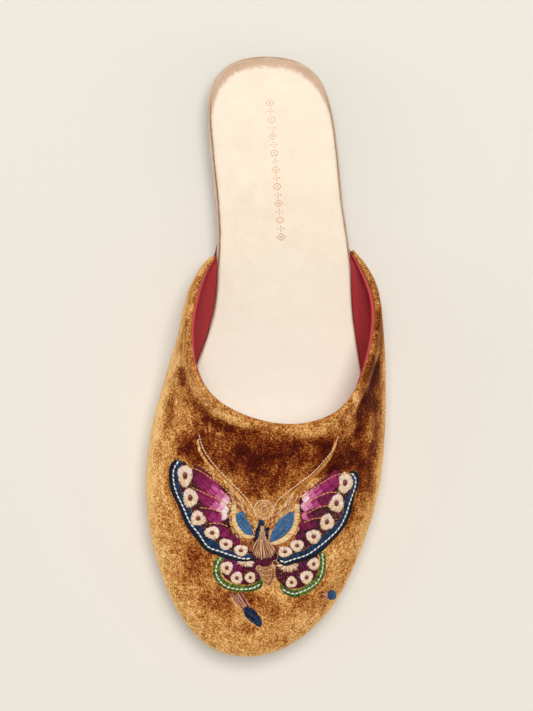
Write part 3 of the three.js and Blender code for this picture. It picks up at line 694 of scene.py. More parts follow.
def wall_columns(us):
    """For each share round the shoe: the foot of the wall, its outward direction, and a dense line
    up the wall's outside to the collar."""
    t, q = wall_of(us), bulge_at(us)
    i = ((q[:, None] - EDGE[None]) ** 2).sum(-1).argmin(1)
    n = len(EDGE)
    a, b, p = EDGE[(i - 3) % n], EDGE[(i + 3) % n], EDGE[i]
    tan = (b - a) / np.linalg.norm(b - a, axis=1)[:, None]
    out = np.stack([tan[:, 1], -tan[:, 0]], 1)
    along = ((q - p) * tan).sum(1)[:, None]
    edge = moving_average(p + tan * along, 4)
    out = moving_average(out, 4)
    out /= np.linalg.norm(out, axis=1)[:, None]
    f = edge + out * (GAP + t)[:, None]
    zf = sole_z(f[:, 1]) + OUTSOLE_T + GAP
    w = fan_of(us)
    c, c1, c0 = collar_at(w), collar_at(w + 0.012), collar_at(w - 0.012)
    d = (c1 - c0)[:, :2]
    d /= np.linalg.norm(d, axis=1)[:, None]
    away = np.stack([-d[:, 1], d[:, 0]], 1)
    away *= np.where((away * (q - c[:, :2])).sum(1) < 0, -1, 1)[:, None]
    slope = np.radians(slope_of(us))
    top = np.column_stack([c[:, :2] + away * (np.sin(slope) * t)[:, None], c[:, 2] + np.cos(slope) * t])
    zs = zf + np.minimum(rise_of(us), 0.62 * (top[:, 2] - zf))
    lines = []
    for k in range(len(us)):
        F, S, T = np.array([*f[k], zf[k]]), np.array([*q[k], zs[k]]), top[k]
        rise = zs[k] - zf[k]
        low = bezier(F, np.array([*(F[:2] + 0.62 * (S[:2] - F[:2])), zf[k] + 0.12 * rise]), np.array([*q[k], zs[k] - 0.5 * rise]), S, np.linspace(0, 1, 30)[:-1])
        back = T[:2] - S[:2]
        reach = np.linalg.norm(back)
        back = back / reach if reach > 1e-6 else -away[k]
        dr = 0.55 * back - 0.45 * away[k]
        dr /= np.linalg.norm(dr)
        pull = collarpull_of(us[k]) * math.hypot(reach, T[2] - zs[k])
        P1 = np.array([*q[k], zs[k] + risepull_of(us[k]) * (T[2] - zs[k])])
        P2 = np.array([*(T[:2] - dr * math.cos(slope[k]) * pull), T[2] - math.sin(slope[k]) * pull])
        high = bezier(S, P1, P2, T, np.linspace(0, 1, 140))
        lines.append(np.vstack([low, high]))
    return lines, t, edge, out


U = 430
us = np.linspace(0, 1, U)
lines, wall, board_xy, board_out = wall_columns(us)


def grid_from(lines, s_list):
    """Points at given distances from the foot along each line; s_list(i, length) gives them."""
    out = []
    for i, line in enumerate(lines):
        s = np.concatenate([[0], np.cumsum(np.linalg.norm(np.diff(line, axis=0), axis=1))])
        q = s_list(i, s[-1])
        out.append(np.stack([np.interp(q, s, line[:, k]) for k in range(3)], -1))
    return np.array(out)


def grid_normals(g):
    du = np.empty_like(g)
    du[1:-1] = g[2:] - g[:-2]
    du[0], du[-1] = g[1] - g[0], g[-1] - g[-2]
    dv = np.empty_like(g)
    dv[:, 1:-1] = g[:, 2:] - g[:, :-2]
    dv[:, 0], dv[:, -1] = g[:, 1] - g[:, 0], g[:, -1] - g[:, -2]
    n = np.cross(du, dv)
    return n / np.maximum(np.linalg.norm(n, axis=2), 1e-9)[..., None]


ROWS = 128
shares = np.linspace(0, 1, ROWS)
outer = grid_from(lines, lambda i, L: L * shares)
normal = grid_normals(outer)
lengths = np.array([np.linalg.norm(np.diff(l, axis=0), axis=1).sum() for l in lines])
from_collar = lengths[:, None] * (1 - shares)[None]
from_foot = lengths[:, None] * shares[None]


# ------------------------------------------------------------------ folds and nap of the velvet, with painted shade and highlights
def polyline_distance(p, line):
    """Distance in plan from points to a smooth line, and the share along it."""
    q = resample(smooth_path(line, False, 8), step=0.8)
    best, share = np.full(len(p), 1e9), np.zeros(len(p))
    for a in range(0, len(p), 6000):
        d = ((p[a:a + 6000, None] - q[None]) ** 2).sum(-1)
        j = d.argmin(1)
        best[a:a + 6000] = np.sqrt(d[np.arange(len(j)), j])
        share[a:a + 6000] = j / (len(q) - 1)
    return best, share


# Soft folds: line in plan, half width, height (troughs are negative), change of nap along it, which paints shade into
# the troughs and highlights onto the ridges. The last four run round the embroidery as a painted shadow at its edge.
FOLDS = [
    ([(-36.0, -13.9), (-33.3, -17.5), (-30.1, -22.4), (-26.1, -26.1), (-20.1, -29.1), (-12.2, -30.8), (-2.7, -31.8), (8.4, -33.2), (18.1, -32.6)], 2.2, -0.60, -0.42),
    ([(38.2, -9.9), (39.0, -15.5), (38.4, -22.7), (36.9, -30.8), (35.9, -39.8)], 2.0, -0.60, -0.40),
    ([(44.7, -14.7), (46.3, -25.3), (45.6, -37.6), (44.5, -47.4)], 1.8, -0.42, -0.34),
    ([(35.9, -18.2), (31.8, -24.3), (27.8, -29.9)], 2.0, -0.38, -0.30),
    ([(41.7, -11.5), (42.9, -21.2), (42.2, -31.8), (40.3, -41.5)], 1.3, 0.38, 0.34),
    ([(-42.8, -17.2), (-41.6, -23.7), (-42.0, -31.9)], 1.6, -0.32, -0.30),
    ([(-45.6, -19.2), (-46.0, -29.7), (-46.5, -38.9)], 1.6, 0.24, 0.14),
    ([(46.0, 3.9), (47.6, -1.9), (47.3, -9.2)], 1.4, 0.32, 0.26),
    ([(44.2, -0.5), (43.6, -7.7), (42.9, -15.0), (42.8, -26.0)], 1.6, -0.48, -0.44),
    ([(39.3, -19.4), (37.8, -24.4)], 1.4, 0.28, 0.24),
    ([(-37.1, -4.1), (-36.6, -9.2), (-36.0, -13.6)], 1.5, -0.38, -0.42),
    ([(-41.4, -7.7), (-40.7, -15.1), (-41.8, -23.9)], 1.6, -0.28, -0.26),
    ([(-34.9, 17.2), (-36.5, 8.4), (-38.1, -0.4)], 1.5, -0.22, -0.22),
    ([(47.0, 20.1), (48.1, 12.8), (49.1, 2.6)], 1.5, -0.24, -0.30),
    ([(-27.0, -30.5), (-31.5, -38.0), (-36.5, -41.0)], 2.6, -0.25, -0.20),
    ([(30.5, -30.0), (33.0, -37.0), (38.5, -42.5)], 2.4, -0.30, -0.26),
    ([(-45.0, -88.0), (-38.0, -92.0), (-30.0, -97.0)], 3.2, -0.25, -0.04),
    ([(31.5, -76.0), (32.5, -84.0), (29.0, -92.0)], 2.8, -0.20, -0.04),
    ([(-20.0, -104.5), (-10.0, -103.0), (2.0, -107.5)], 3.0, -0.25, -0.14),
    ([(-14.0, -36.0), (-10.0, -43.0), (-4.0, -50.0)], 3.4, -0.28, -0.16),
    ([(12.0, -34.5), (9.0, -41.0), (13.0, -47.0)], 3.2, -0.28, -0.18),
    ([(-47.2, -42.0), (-48.0, -54.0), (-47.0, -66.0)], 2.2, 0.20, 0.10),
    ([(-43.6, -58.0), (-42.4, -68.0), (-39.0, -78.0)], 2.4, -0.22, -0.10),
    ([(38.5, -84.0), (34.5, -93.0), (28.5, -101.0)], 2.2, -0.20, -0.10),
    # painted shadow round the edge of the embroidery, over a shallow trough
    ([(-39.5, -42.5), (-42.1, -46.6), (-42.4, -51.8), (-41.5, -57.4), (-38.3, -64.0), (-35.2, -71.2), (-30.7, -77.6), (-25.2, -83.4)], 1.0, -0.22, -0.20),
    ([(34.6, -47.2), (38.0, -48.4), (38.8, -53.4), (37.0, -59.4), (35.7, -66.0), (32.2, -73.6), (27.4, -78.6), (22.8, -83.0)], 1.0, -0.22, -0.20),
    ([(-24.5, -89.8), (-23.2, -94.8), (-20.0, -98.3), (-14.6, -100.4), (-9.8, -100.6), (-4.3, -99.8)], 1.0, -0.18, -0.18),
    ([(26.1, -87.4), (24.9, -94.1), (21.0, -99.0), (16.0, -102.0), (11.5, -103.1), (7.4, -101.8)], 1.0, -0.18, -0.18),
]
# Darker patches of the velvet: centre, half sizes, how much darker (negative values lighten).
DARK = [
    (-1.0, -39.2, 28.5, 9.6, 0.36), (10.1, -40.0, 11.5, 5.4, 0.06), (-9.0, -37.1, 9.7, 6.4, 0.08),
    (-2.4, -51.5, 13.5, 10.5, 0.46), (-15.2, -42.9, 7.6, 6.4, 0.24), (21.4, -35.5, 7.2, 6.4, 0.30),
    (-35.2, -36.3, 6.4, 5.4, 0.36), (-30.1, -83.0, 7.4, 5.4, 0.32),
    (-31.5, -90.0, 5.4, 6.2, 0.24), (-23.5, -103.2, 9.9, 5.0, 0.25), (-8.1, -102.1, 9.7, 3.8, 0.22),
    (2.6, -106.7, 5.0, 5.0, 0.27), (17.5, -105.3, 8.0, 3.8, 0.23), (23.7, -100.9, 3.4, 2.4, 0.36),
    (-9.5, -115.6, 7.4, 2.5, 0.22), (36.0, -43.9, 4.4, 5.0, 0.40), (28.5, -47.0, 5.0, 3.6, 0.26),
    (41.5, -14.0, 7.0, 22.0, 0.40), (41.5, -42.0, 4.5, 9.0, 0.26),
    (26.5, -42.0, 10.0, 6.5, 0.30), (-26.5, -41.0, 8.0, 4.6, 0.14), (-27.0, -28.0, 9.0, 3.0, 0.14),
    (-14.9, -68.2, 4.8, 4.0, 0.10), (12.1, -54.9, 3.6, 3.4, 0.16), (43.2, 16.0, 3.2, 14.0, 0.16),
    (-33.6, 14.0, 2.6, 16.0, 0.12), (0.0, -122.5, 22.0, 3.4, 0.10),
    (-36.5, -6.0, 4.5, 15.0, 0.20), (-27.0, -19.5, 10.0, 7.0, 0.18), (-23.5, -34.0, 10.0, 5.0, 0.30),
    (-33.5, -42.0, 7.5, 4.0, 0.24), (-44.5, -28.0, 3.0, 7.0, 0.12), (40.5, -33.0, 4.5, 7.0, 0.34),
    (40.5, -53.0, 5.0, 10.5, 0.42), (28.0, -36.0, 6.5, 10.0, 0.20), (18.0, -47.0, 12.0, 4.6, 0.24),
    (36.0, -68.0, 5.5, 8.0, 0.22), (46.5, -2.0, 3.0, 9.0, 0.28), (44.5, 17.0, 3.0, 12.0, 0.16),
    (-18.5, -106.5, 5.5, 5.5, 0.20), (-6.5, -104.5, 3.6, 4.0, 0.16), (11.0, -108.5, 4.0, 3.4, 0.18),
    (-27.5, -97.0, 4.5, 5.0, 0.16), (25.5, -98.0, 3.6, 3.0, 0.14),
    (46.8, 6.0, 3.0, 16.0, 0.14), (45.0, -44.0, 3.2, 14.0, 0.18), (-27.5, -44.5, 5.0, 5.5, 0.22),
    (-32.0, -28.0, 6.0, 4.0, 0.14), (-31.5, -9.0, 3.0, 8.0, 0.16), (27.5, -46.0, 6.0, 5.0, 0.16),
    (8.0, -32.5, 11.0, 4.0, -0.16), (35.0, -14.0, 5.0, 8.0, -0.20), (23.0, -33.0, 4.0, 3.4, -0.14),
    (-30.5, -107.0, 5.0, 6.0, -0.12), (0.5, -105.5, 3.0, 3.4, -0.14),
    (46.8, -4.0, 2.6, 12.0, 0.14), (44.0, -64.0, 3.0, 12.0, 0.12), (20.5, -48.5, 6.0, 3.4, 0.18),
    (-27.0, -87.5, 4.0, 5.0, 0.14), (-24.5, -98.5, 4.0, 4.0, 0.12), (12.0, -93.0, 6.0, 4.0, 0.10),
    (-31.0, 24.0, 2.6, 14.0, 0.14), (44.0, 24.0, 3.0, 12.0, 0.14), (-31.5, -22.0, 4.0, 5.0, -0.12),
    (38.0, -14.0, 4.0, 9.0, -0.14),
]


def velvet_fields(g, nrm, fc, ff):
    """Height of the folds, and tone of the nap with its painted shade and highlights, at each point of the grid."""
    p = g.reshape(-1, 3)
    xy = p[:, :2]
    h, nap_and_painted_light = np.zeros(len(p)), np.full(len(p), 0.73)
    for line, width, height, tone in FOLDS:
        d, s = polyline_distance(xy, line)
        fade = smoothstep(0, 0.16, s) * (1 - smoothstep(0.8, 1.0, s)) * 0.9 + 0.1
        k = np.exp(-(d / width) ** 2) * fade
        h += height * k
        # the change of tone along a fold: painted shade in a trough, painted highlight on a ridge
        nap_and_painted_light += tone * np.exp(-(d / (width * 1.15)) ** 2) * fade
    for x, y, a, b, tone in DARK:
        w = np.sqrt(((xy[:, 0] - x) / a) ** 2 + ((xy[:, 1] - y) / b) ** 2)
        w = w + 0.35 * points_noise(p, 5.0, x * 0.1)
        nap_and_painted_light -= (tone * (0.8 if y < -95 else 1.0)) * (1 - smoothstep(0.2, 1.35, w))
    fc, ff = fc.ravel(), ff.ravel()
    # the rolled collar: a soft bead with a trough behind it, with a painted highlight on the bead and painted shade in
    # the trough; the very edge is a little darker, and the band along the collar darker towards the back
    wander = 1.0 * points_noise(p, 16.0, 4.4)
    bead = np.exp(-((fc - 2.4) / 2.9) ** 2)
    h += 0.48 * bead - 0.26 * np.exp(-((fc - 7.2 - wander) / 1.7) ** 2)
    nap_and_painted_light += 0.12 * np.exp(-((fc - 3.6) / 2.4) ** 2) - 0.10 * np.exp(-((fc - 7.9 - wander) / 1.8) ** 2)
    nap_and_painted_light -= 0.05 * np.exp(-(fc / 0.9) ** 2)
    nap_and_painted_light -= 0.20 * np.exp(-((fc - 1.5) / 3.0) ** 2) * smoothstep(-24, 2, xy[:, 1])
    # painted sheen: the steep sides and the toe lighter, where the nap catches light
    side = 1 - np.abs(nrm.reshape(-1, 3)[:, 2])
    nap_and_painted_light += 0.30 * smoothstep(0.22, 0.8, side) * (1 - 0.75 * smoothstep(34, 42, xy[:, 0]) * smoothstep(-48, -36, xy[:, 1]))
    # painted shade at the foot of the wall: darker just above the seam
    nap_and_painted_light -= 0.30 * np.exp(-(ff / 2.6) ** 2)
    # crushed cloth: soft uneven pile
    n1, n2, n3 = points_noise(p, 11.0, 1.7), points_noise(p * (1.0, 0.6, 1.0), 4.0, 5.3), points_noise(p * (1.0, 0.55, 1.0), 1.7, 9.1)
    quiet = smoothstep(0.5, 3.0, ff)
    h += (0.16 * n1 + 0.11 * n2 + 0.05 * n3) * quiet
    nap_and_painted_light += 0.10 * n1 + 0.10 * n2 + 0.11 * n3
    return h, nap_and_painted_light


height, nap_and_painted_light = velvet_fields(outer, normal, from_collar, from_foot)
height, nap_and_painted_light = height.reshape(U, ROWS), nap_and_painted_light.reshape(U, ROWS)
ends = smoothstep(0, 0.02, us) * (1 - smoothstep(0.98, 1, us))
height = height * (0.25 + 0.75 * ends[:, None])
velvet_out = outer + normal * (height + 0.15)[..., None]
velvet_out[:, 0] = outer[:, 0]

# ------------------------------------------------------------------ velvet shell, with its turned-in edge
TURN_IN = 4.6  # how far the velvet goes down inside
edge_n, top_p = normal[:, -1], outer[:, -1]
down = outer[:, -2] - outer[:, -1]
down /= np.linalg.norm(down, axis=1)[:, None]
up_v = -down


def inside_point(depth, off):
    """A point of the wall at a distance below the collar and an offset in from its outside."""
    return grid_at(depth) - grid_n(depth) * np.reshape(off, (-1, 1))


def grid_at(depth):
    s = np.minimum(depth, lengths * 0.9)
    f = (lengths - s) / lengths * (ROWS - 1)
    i = np.clip(f.astype(int), 0, ROWS - 2)
    t = (f - i)[:, None]
    k = np.arange(U)
    return outer[k, i] * (1 - t) + outer[k, i + 1] * t


def grid_n(depth):
    s = np.minimum(depth, lengths * 0.9)
    f = (lengths - s) / lengths * (ROWS - 1)
    i = np.clip(f.astype(int), 0, ROWS - 2)
    t = (f - i)[:, None]
    k = np.arange(U)
    n = normal[k, i] * (1 - t) + normal[k, i + 1] * t
    return n / np.linalg.norm(n, axis=1)[:, None]


scale = np.minimum(1.0, lengths / 16.0)  # everything shrinks at the two wing ends
w_full = wall
rows = [velvet_out[:, j] for j in range(ROWS)]
bead0 = height[:, -1] + 0.15
c_mid = top_p + edge_n * ((bead0 - w_full) / 2)[:, None]
rad = (bead0 + w_full) / 2
for a in np.linspace(0, math.pi, 13)[1:-1]:
    rows.append(c_mid + edge_n * (math.cos(a) * rad)[:, None] + up_v * (math.sin(a) * rad * 1.05)[:, None])
for d in np.linspace(0, 1, 10):
    depth = d * TURN_IN * scale
    rows.append(inside_point(depth, w_full + 0.18 * math.sin(math.pi * d)))
rows.append(inside_point(TURN_IN * 1.04 * scale, w_full * 0.80))
rows.append(inside_point(TURN_IN * 1.0 * scale, w_full * 0.52))
for f in np.linspace(0, 1, 24):
    depth = TURN_IN * scale + 0.6 + f * (lengths - TURN_IN * scale - 0.6)
    k = (lengths - depth) / lengths
    i = np.clip((k * (ROWS - 1)).astype(int), 0, ROWS - 2)
    t = (k * (ROWS - 1) - i)[:, None]
    kk = np.arange(U)
    base = outer[kk, i] * (1 - t) + outer[kk, i + 1] * t
    nn = normal[kk, i] * (1 - t) + normal[kk, i + 1] * t
    nn[:, 2] *= 1 - smoothstep(3.0, 0.0, (lengths - depth))
    nn /= np.linalg.norm(nn, axis=1)[:, None]
    rows.append(base - nn * (w_full * 0.5)[:, None])
loops = np.stack(rows, 1)
nv = loops.shape[1]
# the velvet turned in over the collar takes darker tones inside the opening: painted shade
nap_and_painted_light_rows = np.full((U, nv), 0.30)
nap_and_painted_light_rows[:, :ROWS] = nap_and_painted_light
mixed = 0.12 * points_noise(loops[:, ROWS:ROWS + 24].reshape(-1, 3), 3.5, 2.2).reshape(U, 24)
for j in range(11):
    nap_and_painted_light_rows[:, ROWS + j] = nap_and_painted_light[:, -1] * (1 - j / 10) + 0.56 * (j / 10) + mixed[:, j]
nap_and_painted_light_rows[:, ROWS + 11:ROWS + 21] = 0.44 + mixed[:, 11:21]
verts, faces = loft(list(loops))
velvet = mesh_object("velvet_upper", put(verts), faces, [VELVET], True)
# the nap's tone, with its painted shade and highlights, for each point of the shell
a = velvet.data.attributes.new("nap_and_painted_light", "FLOAT", "POINT")
a.data.foreach_set("value", nap_and_painted_light_rows.ravel().astype(np.float32))
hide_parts("upper")
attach(velvet, "root")

# ------------------------------------------------------------------ crimson lining
LU = 215
lk = np.round(np.linspace(0, U - 1, LU)).astype(int)


def pick(depth, off):
    k = np.clip((lengths - np.minimum(depth, lengths)) / lengths, 0, 1) * (ROWS - 1)
    i = np.clip(k.astype(int), 0, ROWS - 2)
    t = (k - i)[:, None]
    kk = np.arange(U)
    base = outer[kk, i] * (1 - t) + outer[kk, i + 1] * t
    nn = normal[kk, i] * (1 - t) + normal[kk, i + 1] * t
    nn = nn.copy()
    nn[:, 2] *= 1 - smoothstep(3.0, 0.0, (lengths - np.minimum(depth, lengths)))
    nn /= np.linalg.norm(nn, axis=1)[:, None]
    return (base - nn * np.reshape(off, (-1, 1)))[lk]


HEM = 2.3  # the lining's folded edge lies this far below the collar
low = np.minimum(7.5, lengths * 0.62)  # from here down the lining leaves the wall and comes in to the insole
reach = lengths - low - HEM * scale
insole_z = in_z(board_xy[:, 1])
tuck_z = np.minimum(insole_z + 1.35, top_p[:, 2] - 1.0)
tuck_off = -0.75 + 0.90 * smoothstep(insole_z + 0.9, insole_z + 0.2, tuck_z)
tuck_off = tuck_off - tucked_in(board_xy[:, 1])


def tuck(off, dz):
    return np.column_stack([board_xy + board_out * (tuck_off + off)[:, None], tuck_z + dz])[lk]


def sweep(depth_off, target, count):
    """Rows from the wall in to the edge of the insole."""
    p0 = pick(lengths - low, depth_off)
    d0 = p0 - pick(lengths - low - 0.4, depth_off)
    d0 /= np.maximum(np.linalg.norm(d0, axis=1), 1e-9)[:, None]
    span = np.linalg.norm(target - p0, axis=1)[:, None]
    out3 = np.column_stack([board_out, np.full(U, -0.05)])[lk]
    p1, p2 = p0 + d0 * span * 0.36, target + out3 * span * 0.36
    return [p0 * (1 - t) ** 3 + 3 * p1 * t * (1 - t) ** 2 + 3 * p2 * t * t * (1 - t) + target * t ** 3 for t in np.linspace(0, 1, count)[1:]]


proud = 0.42 + 1.0 * (1 - smoothstep(0.16, 0.25, np.minimum(us, 1 - us)))
front, back_rows = [], []
for f in np.linspace(0, 1, 44) ** 0.92:
    depth = HEM * scale + f * reach
    over = 1 - smoothstep(HEM, 9.0, depth)
    front.append(pick(depth, w_full + 0.26 + proud * over * scale))
front += sweep(w_full + 0.26, tuck(np.zeros(U), 0.0), 24)
front += [tuck(np.full(U, 0.0), -0.5), tuck(np.full(U, 0.03), -1.0)]
for f in np.linspace(0, 1, 15):
    depth = HEM * scale + f * reach
    over = 1 - smoothstep(4.5, 9.0, depth)
    back_rows.append(pick(depth, w_full * 0.62 + (w_full * 0.38 + 0.02) * over))
back_rows += sweep(w_full * 0.62, tuck(np.full(U, 0.42), -0.40), 13)
back_rows += [tuck(np.full(U, 0.42), -1.0)]
back_rows = back_rows[::-1]
hem_mid = (front[0] + back_rows[-1]) / 2
hem_up = pick(HEM * scale - 0.4, w_full + 0.3) - hem_mid
hem_up /= np.maximum(np.linalg.norm(hem_up, axis=1), 1e-9)[:, None]
half = (front[0] - back_rows[-1]) / 2
hem_r = np.linalg.norm(half, axis=1)[:, None]
bend = [hem_mid + half * -math.cos(a) + hem_up * hem_r * math.sin(a) * 1.1 for a in np.linspace(0, math.pi, 7)[1:-1]]
sections = np.stack(front[::-1] + bend[::-1] + back_rows[::-1], 1)
sections = np.stack([moving_average(sections[:, j], 2) for j in range(sections.shape[1])], 1)
verts, faces = loft(list(sections))
nl, nf = sections.shape[1], len(front)
# the faces of the fold take the painted highlight
lining = mesh_object("lining", put(verts), faces, [LINING, LINING_FOLD_HIGHLIGHT], True,
                     [1 if k < (LU - 1) * nl and nf <= k % nl <= nf + 3 else 0 for k in range(len(faces))])
import bmesh


def fix_normals(ob):
    bm = bmesh.new()
    bm.from_mesh(ob.data)
    bmesh.ops.recalc_face_normals(bm, faces=bm.faces)
    bm.to_mesh(ob.data)
    bm.free()


for ob in (velvet, lining):
    fix_normals(ob)
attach(lining, "root")

# ------------------------------------------------------------------ embroidery
bvh = BVHTree.FromPolygons([Vector(v) for v in velvet_out.reshape(-1, 3)],
                           [(i * ROWS + j, (i + 1) * ROWS + j, (i + 1) * ROWS + j + 1, i * ROWS + j + 1)
                            for i in range(U - 1) for j in range(4, ROWS - 1)])


def on_velvet(xy):
    p, n, _, _ = bvh.ray_cast(Vector((xy[0], xy[1], 120.0)), Vector((0, 0, -1)))
    if p is None:
        p, n, _, _ = bvh.find_nearest(Vector((xy[0], xy[1], 20.0)))
    n = n if n.z > 0 else -n
    return np.array(p), np.array(n)


PALETTE = {k: np.array(srgb(*v)[:3]) for k, v in {
    "navy": (10, 26, 50), "navy2": (26, 58, 96), "ink": (5, 8, 15), "blue": (70, 122, 166), "blue2": (50, 98, 146),
    "m1": (112, 8, 60), "m2": (136, 16, 80), "m3": (164, 40, 106), "d1": (76, 4, 36), "plum": (48, 4, 28),
    "p1": (202, 92, 148), "p2": (234, 142, 182), "p3": (248, 188, 208), "p4": (253, 226, 230),
    "cream": (250, 222, 190), "cream2": (236, 198, 158), "white": (252, 246, 236), "gold": (234, 168, 84),
    "gold2": (198, 126, 52), "pale": (248, 216, 158), "brown": (112, 52, 30), "brown2": (150, 84, 42), "rust": (150, 66, 52),
    "maroon": (84, 8, 40), "maroon2": (108, 16, 54), "tan": (222, 174, 130), "tan2": (190, 136, 96),
    "green": (120, 146, 50), "green2": (80, 110, 32), "green3": (42, 70, 20), "peach": (236, 176, 134),
    "purple": (136, 40, 112)}.items()}


class Stitches:
    """Collects single stitches, each a small closed strand that lies on the velvet."""

    def __init__(self, name):
        self.name, self.items = name, []

    def add(self, a, b, colour, width=0.46, lift=0.10, arch=0.30, bow=0.0, jitter=0.09):
        c = PALETTE[colour] if isinstance(colour, str) else np.array(colour)
        c = np.clip(c * (1 + jitter * rng.standard_normal()) + 0.006 * rng.standard_normal(3), 0, 1)
        self.items.append((np.array(a, float), np.array(b, float), c, width, lift, arch, bow))

    def build(self, sides=6, stations=(0.07, 0.28, 0.5, 0.72, 0.93)):
        verts, faces, cols = [], [], []
        base = 0
        for a, b, c, width, lift, arch, bow in self.items:
            d = b - a
            ln = np.linalg.norm(d)
            if ln < 0.05:
                continue
            e = d / ln
            side2 = np.array([-e[1], e[0]])
            pts, nrm = [], []
            for t in (0.0,) + tuple(stations) + (1.0,):
                p, n = on_velvet(a + d * t + side2 * bow * math.sin(math.pi * t))
                pts.append(p + n * (lift - 0.22 * (t in (0.0, 1.0)) + arch * math.sin(math.pi * t) ** 0.6 * min(1.0, ln / 2.2)))
                nrm.append(n)
            pts = np.array(pts)
            verts.append(pts[0][None])
            # the two ends of each stitch and the rings next to them are darker: painted shade where the thread goes
            # into the cloth
            cols.append(np.array([c * 0.8]))
            for k in range(1, len(pts) - 1):
                tan = pts[k + 1] - pts[k - 1]
                tan /= np.linalg.norm(tan)
                n = nrm[k] - tan * np.dot(nrm[k], tan)
                n /= np.linalg.norm(n)
                s = np.cross(n, tan)
                w = width * (0.9 if k in (1, len(pts) - 2) else 1.0)
                ang = np.arange(sides) * 2 * math.pi / sides
                verts.append(pts[k] + np.cos(ang)[:, None] * s * w / 2 + np.sin(ang)[:, None] * n * w * 0.36)
                cols.append(np.tile(c * (0.93 if k in (1, len(pts) - 2) else 1.0), (sides, 1)))
            verts.append(pts[-1][None])
            cols.append(np.array([c * 0.8]))
            m = len(pts) - 2
            for j in range(sides):
                faces.append((base, base + 1 + (j + 1) % sides, base + 1 + j))
                for k in range(m - 1):
                    o = base + 1 + k * sides
                    faces.append((o + j, o + (j + 1) % sides, o + sides + (j + 1) % sides, o + sides + j))
                o = base + 1 + (m - 1) * sides
                faces.append((o + j, o + (j + 1) % sides, o + sides))
            base += 2 + m * sides
        ob = mesh_object(self.name, put(np.vstack(verts)), faces, [THREAD], True)
        at = ob.data.attributes.new("thread", "FLOAT_COLOR", "POINT")
        rgba = np.column_stack([np.vstack(cols), np.ones(base)])
        at.data.foreach_set("color", rgba.ravel().astype(np.float32))
        fix_normals(ob)
        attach(ob, "root")
        return ob


def rails(st, a, b, colours, spacing=0.36, slant=0.5, **kw):
    """Satin stitch across a band between two lines."""
    A, B = smooth_path(a, False, 8), smooth_path(b, False, 8)
    n = int(max(np.linalg.norm(np.diff(A, axis=0), axis=1).sum(), np.linalg.norm(np.diff(B, axis=0), axis=1).sum()) / spacing)
    P, Q = resample(A, count=n + 1), resample(B, count=n + 1)
    k = max(0, int(slant / spacing))
    for i in range(n + 1 - k):
        st.add(P[i] + rng.normal(0, 0.06, 2), Q[i + k] + rng.normal(0, 0.06, 2), colours[rng.integers(len(colours))], **kw)


def inside_spans(poly, origin, e, s):
    """Where a line crosses a polygon, as pairs of distances along it."""
    hits = []
    n = len(poly)
    for i in range(n):
        a, b = poly[i] - origin, poly[(i + 1) % n] - origin
        da, db = a @ s, b @ s
        if (da > 0) != (db > 0):
            t = da / (da - db)
            hits.append((a + (b - a) * t) @ e)
    hits.sort()
    return list(zip(hits[::2], hits[1::2]))


def fill(st, poly, angle, colours, spacing=0.36, longest=4.5, ragged=0.15, tone=None, **kw):
    """Satin stitch over an area, all in one direction (degrees in plan)."""
    p = smooth_path(poly, True, 6) if len(poly) > 4 else np.array(poly, float)
    e = np.array([math.cos(math.radians(angle)), math.sin(math.radians(angle))])
    s = np.array([-e[1], e[0]])
    d = p @ s
    row = 0
    for q in np.arange(d.min() + spacing * 0.5, d.max(), spacing):
        row += 1
        for lo, hi in inside_spans(p, s * q, e, s):
            ln = hi - lo
            if ln < 0.35:
                continue
            k = max(1, int(math.ceil(ln / longest)))
            cuts = [lo] + [lo + ln * (j + (0.25 if row % 2 else -0.25) * (k > 1) + rng.uniform(-0.08, 0.08)) / k for j in range(1, k)] + [hi]
            for a, b in zip(cuts, cuts[1:]):
                ra, rb = rng.uniform(-ragged, ragged, 2)
                c = colours[rng.integers(len(colours))]
                if tone is not None:
                    c = tone(s * q + e * (a + b) / 2) or c
                st.add(s * q + e * (a + ra), s * q + e * (b + rb), c, **kw)


def dashes(st, path, colour, dash=1.5, gap=0.35, slant=0.0, **kw):
    """Running or stem stitch along a line."""
    P = smooth_path(path, False, 10) if len(path) > 2 else np.array(path, float)
    s = np.concatenate([[0], np.cumsum(np.linalg.norm(np.diff(P, axis=0), axis=1))])
    at = lambda q: np.array([np.interp(q, s, P[:, 0]), np.interp(q, s, P[:, 1])])
    q = 0.0
    while q + dash * 0.6 < s[-1]:
        a, b = at(q), at(min(q + dash, s[-1]))
        n = (b - a) / max(1e-6, np.linalg.norm(b - a))
        m = np.array([-n[1], n[0]]) * slant
        st.add(a - m, b + m, colour, **kw)
        q += dash + gap


def circle(cx, cy, r, turns=1.0, start=0.0, ry=None, n=28, grow=0.0):
    t = np.linspace(0, 2 * math.pi * turns, int(n * turns) + 1) + start
    k = 1 + grow * (t - start) / (2 * math.pi)
    return [(cx + r * k_ * math.cos(x), cy + (ry or r) * k_ * math.sin(x)) for x, k_ in zip(t, k)]


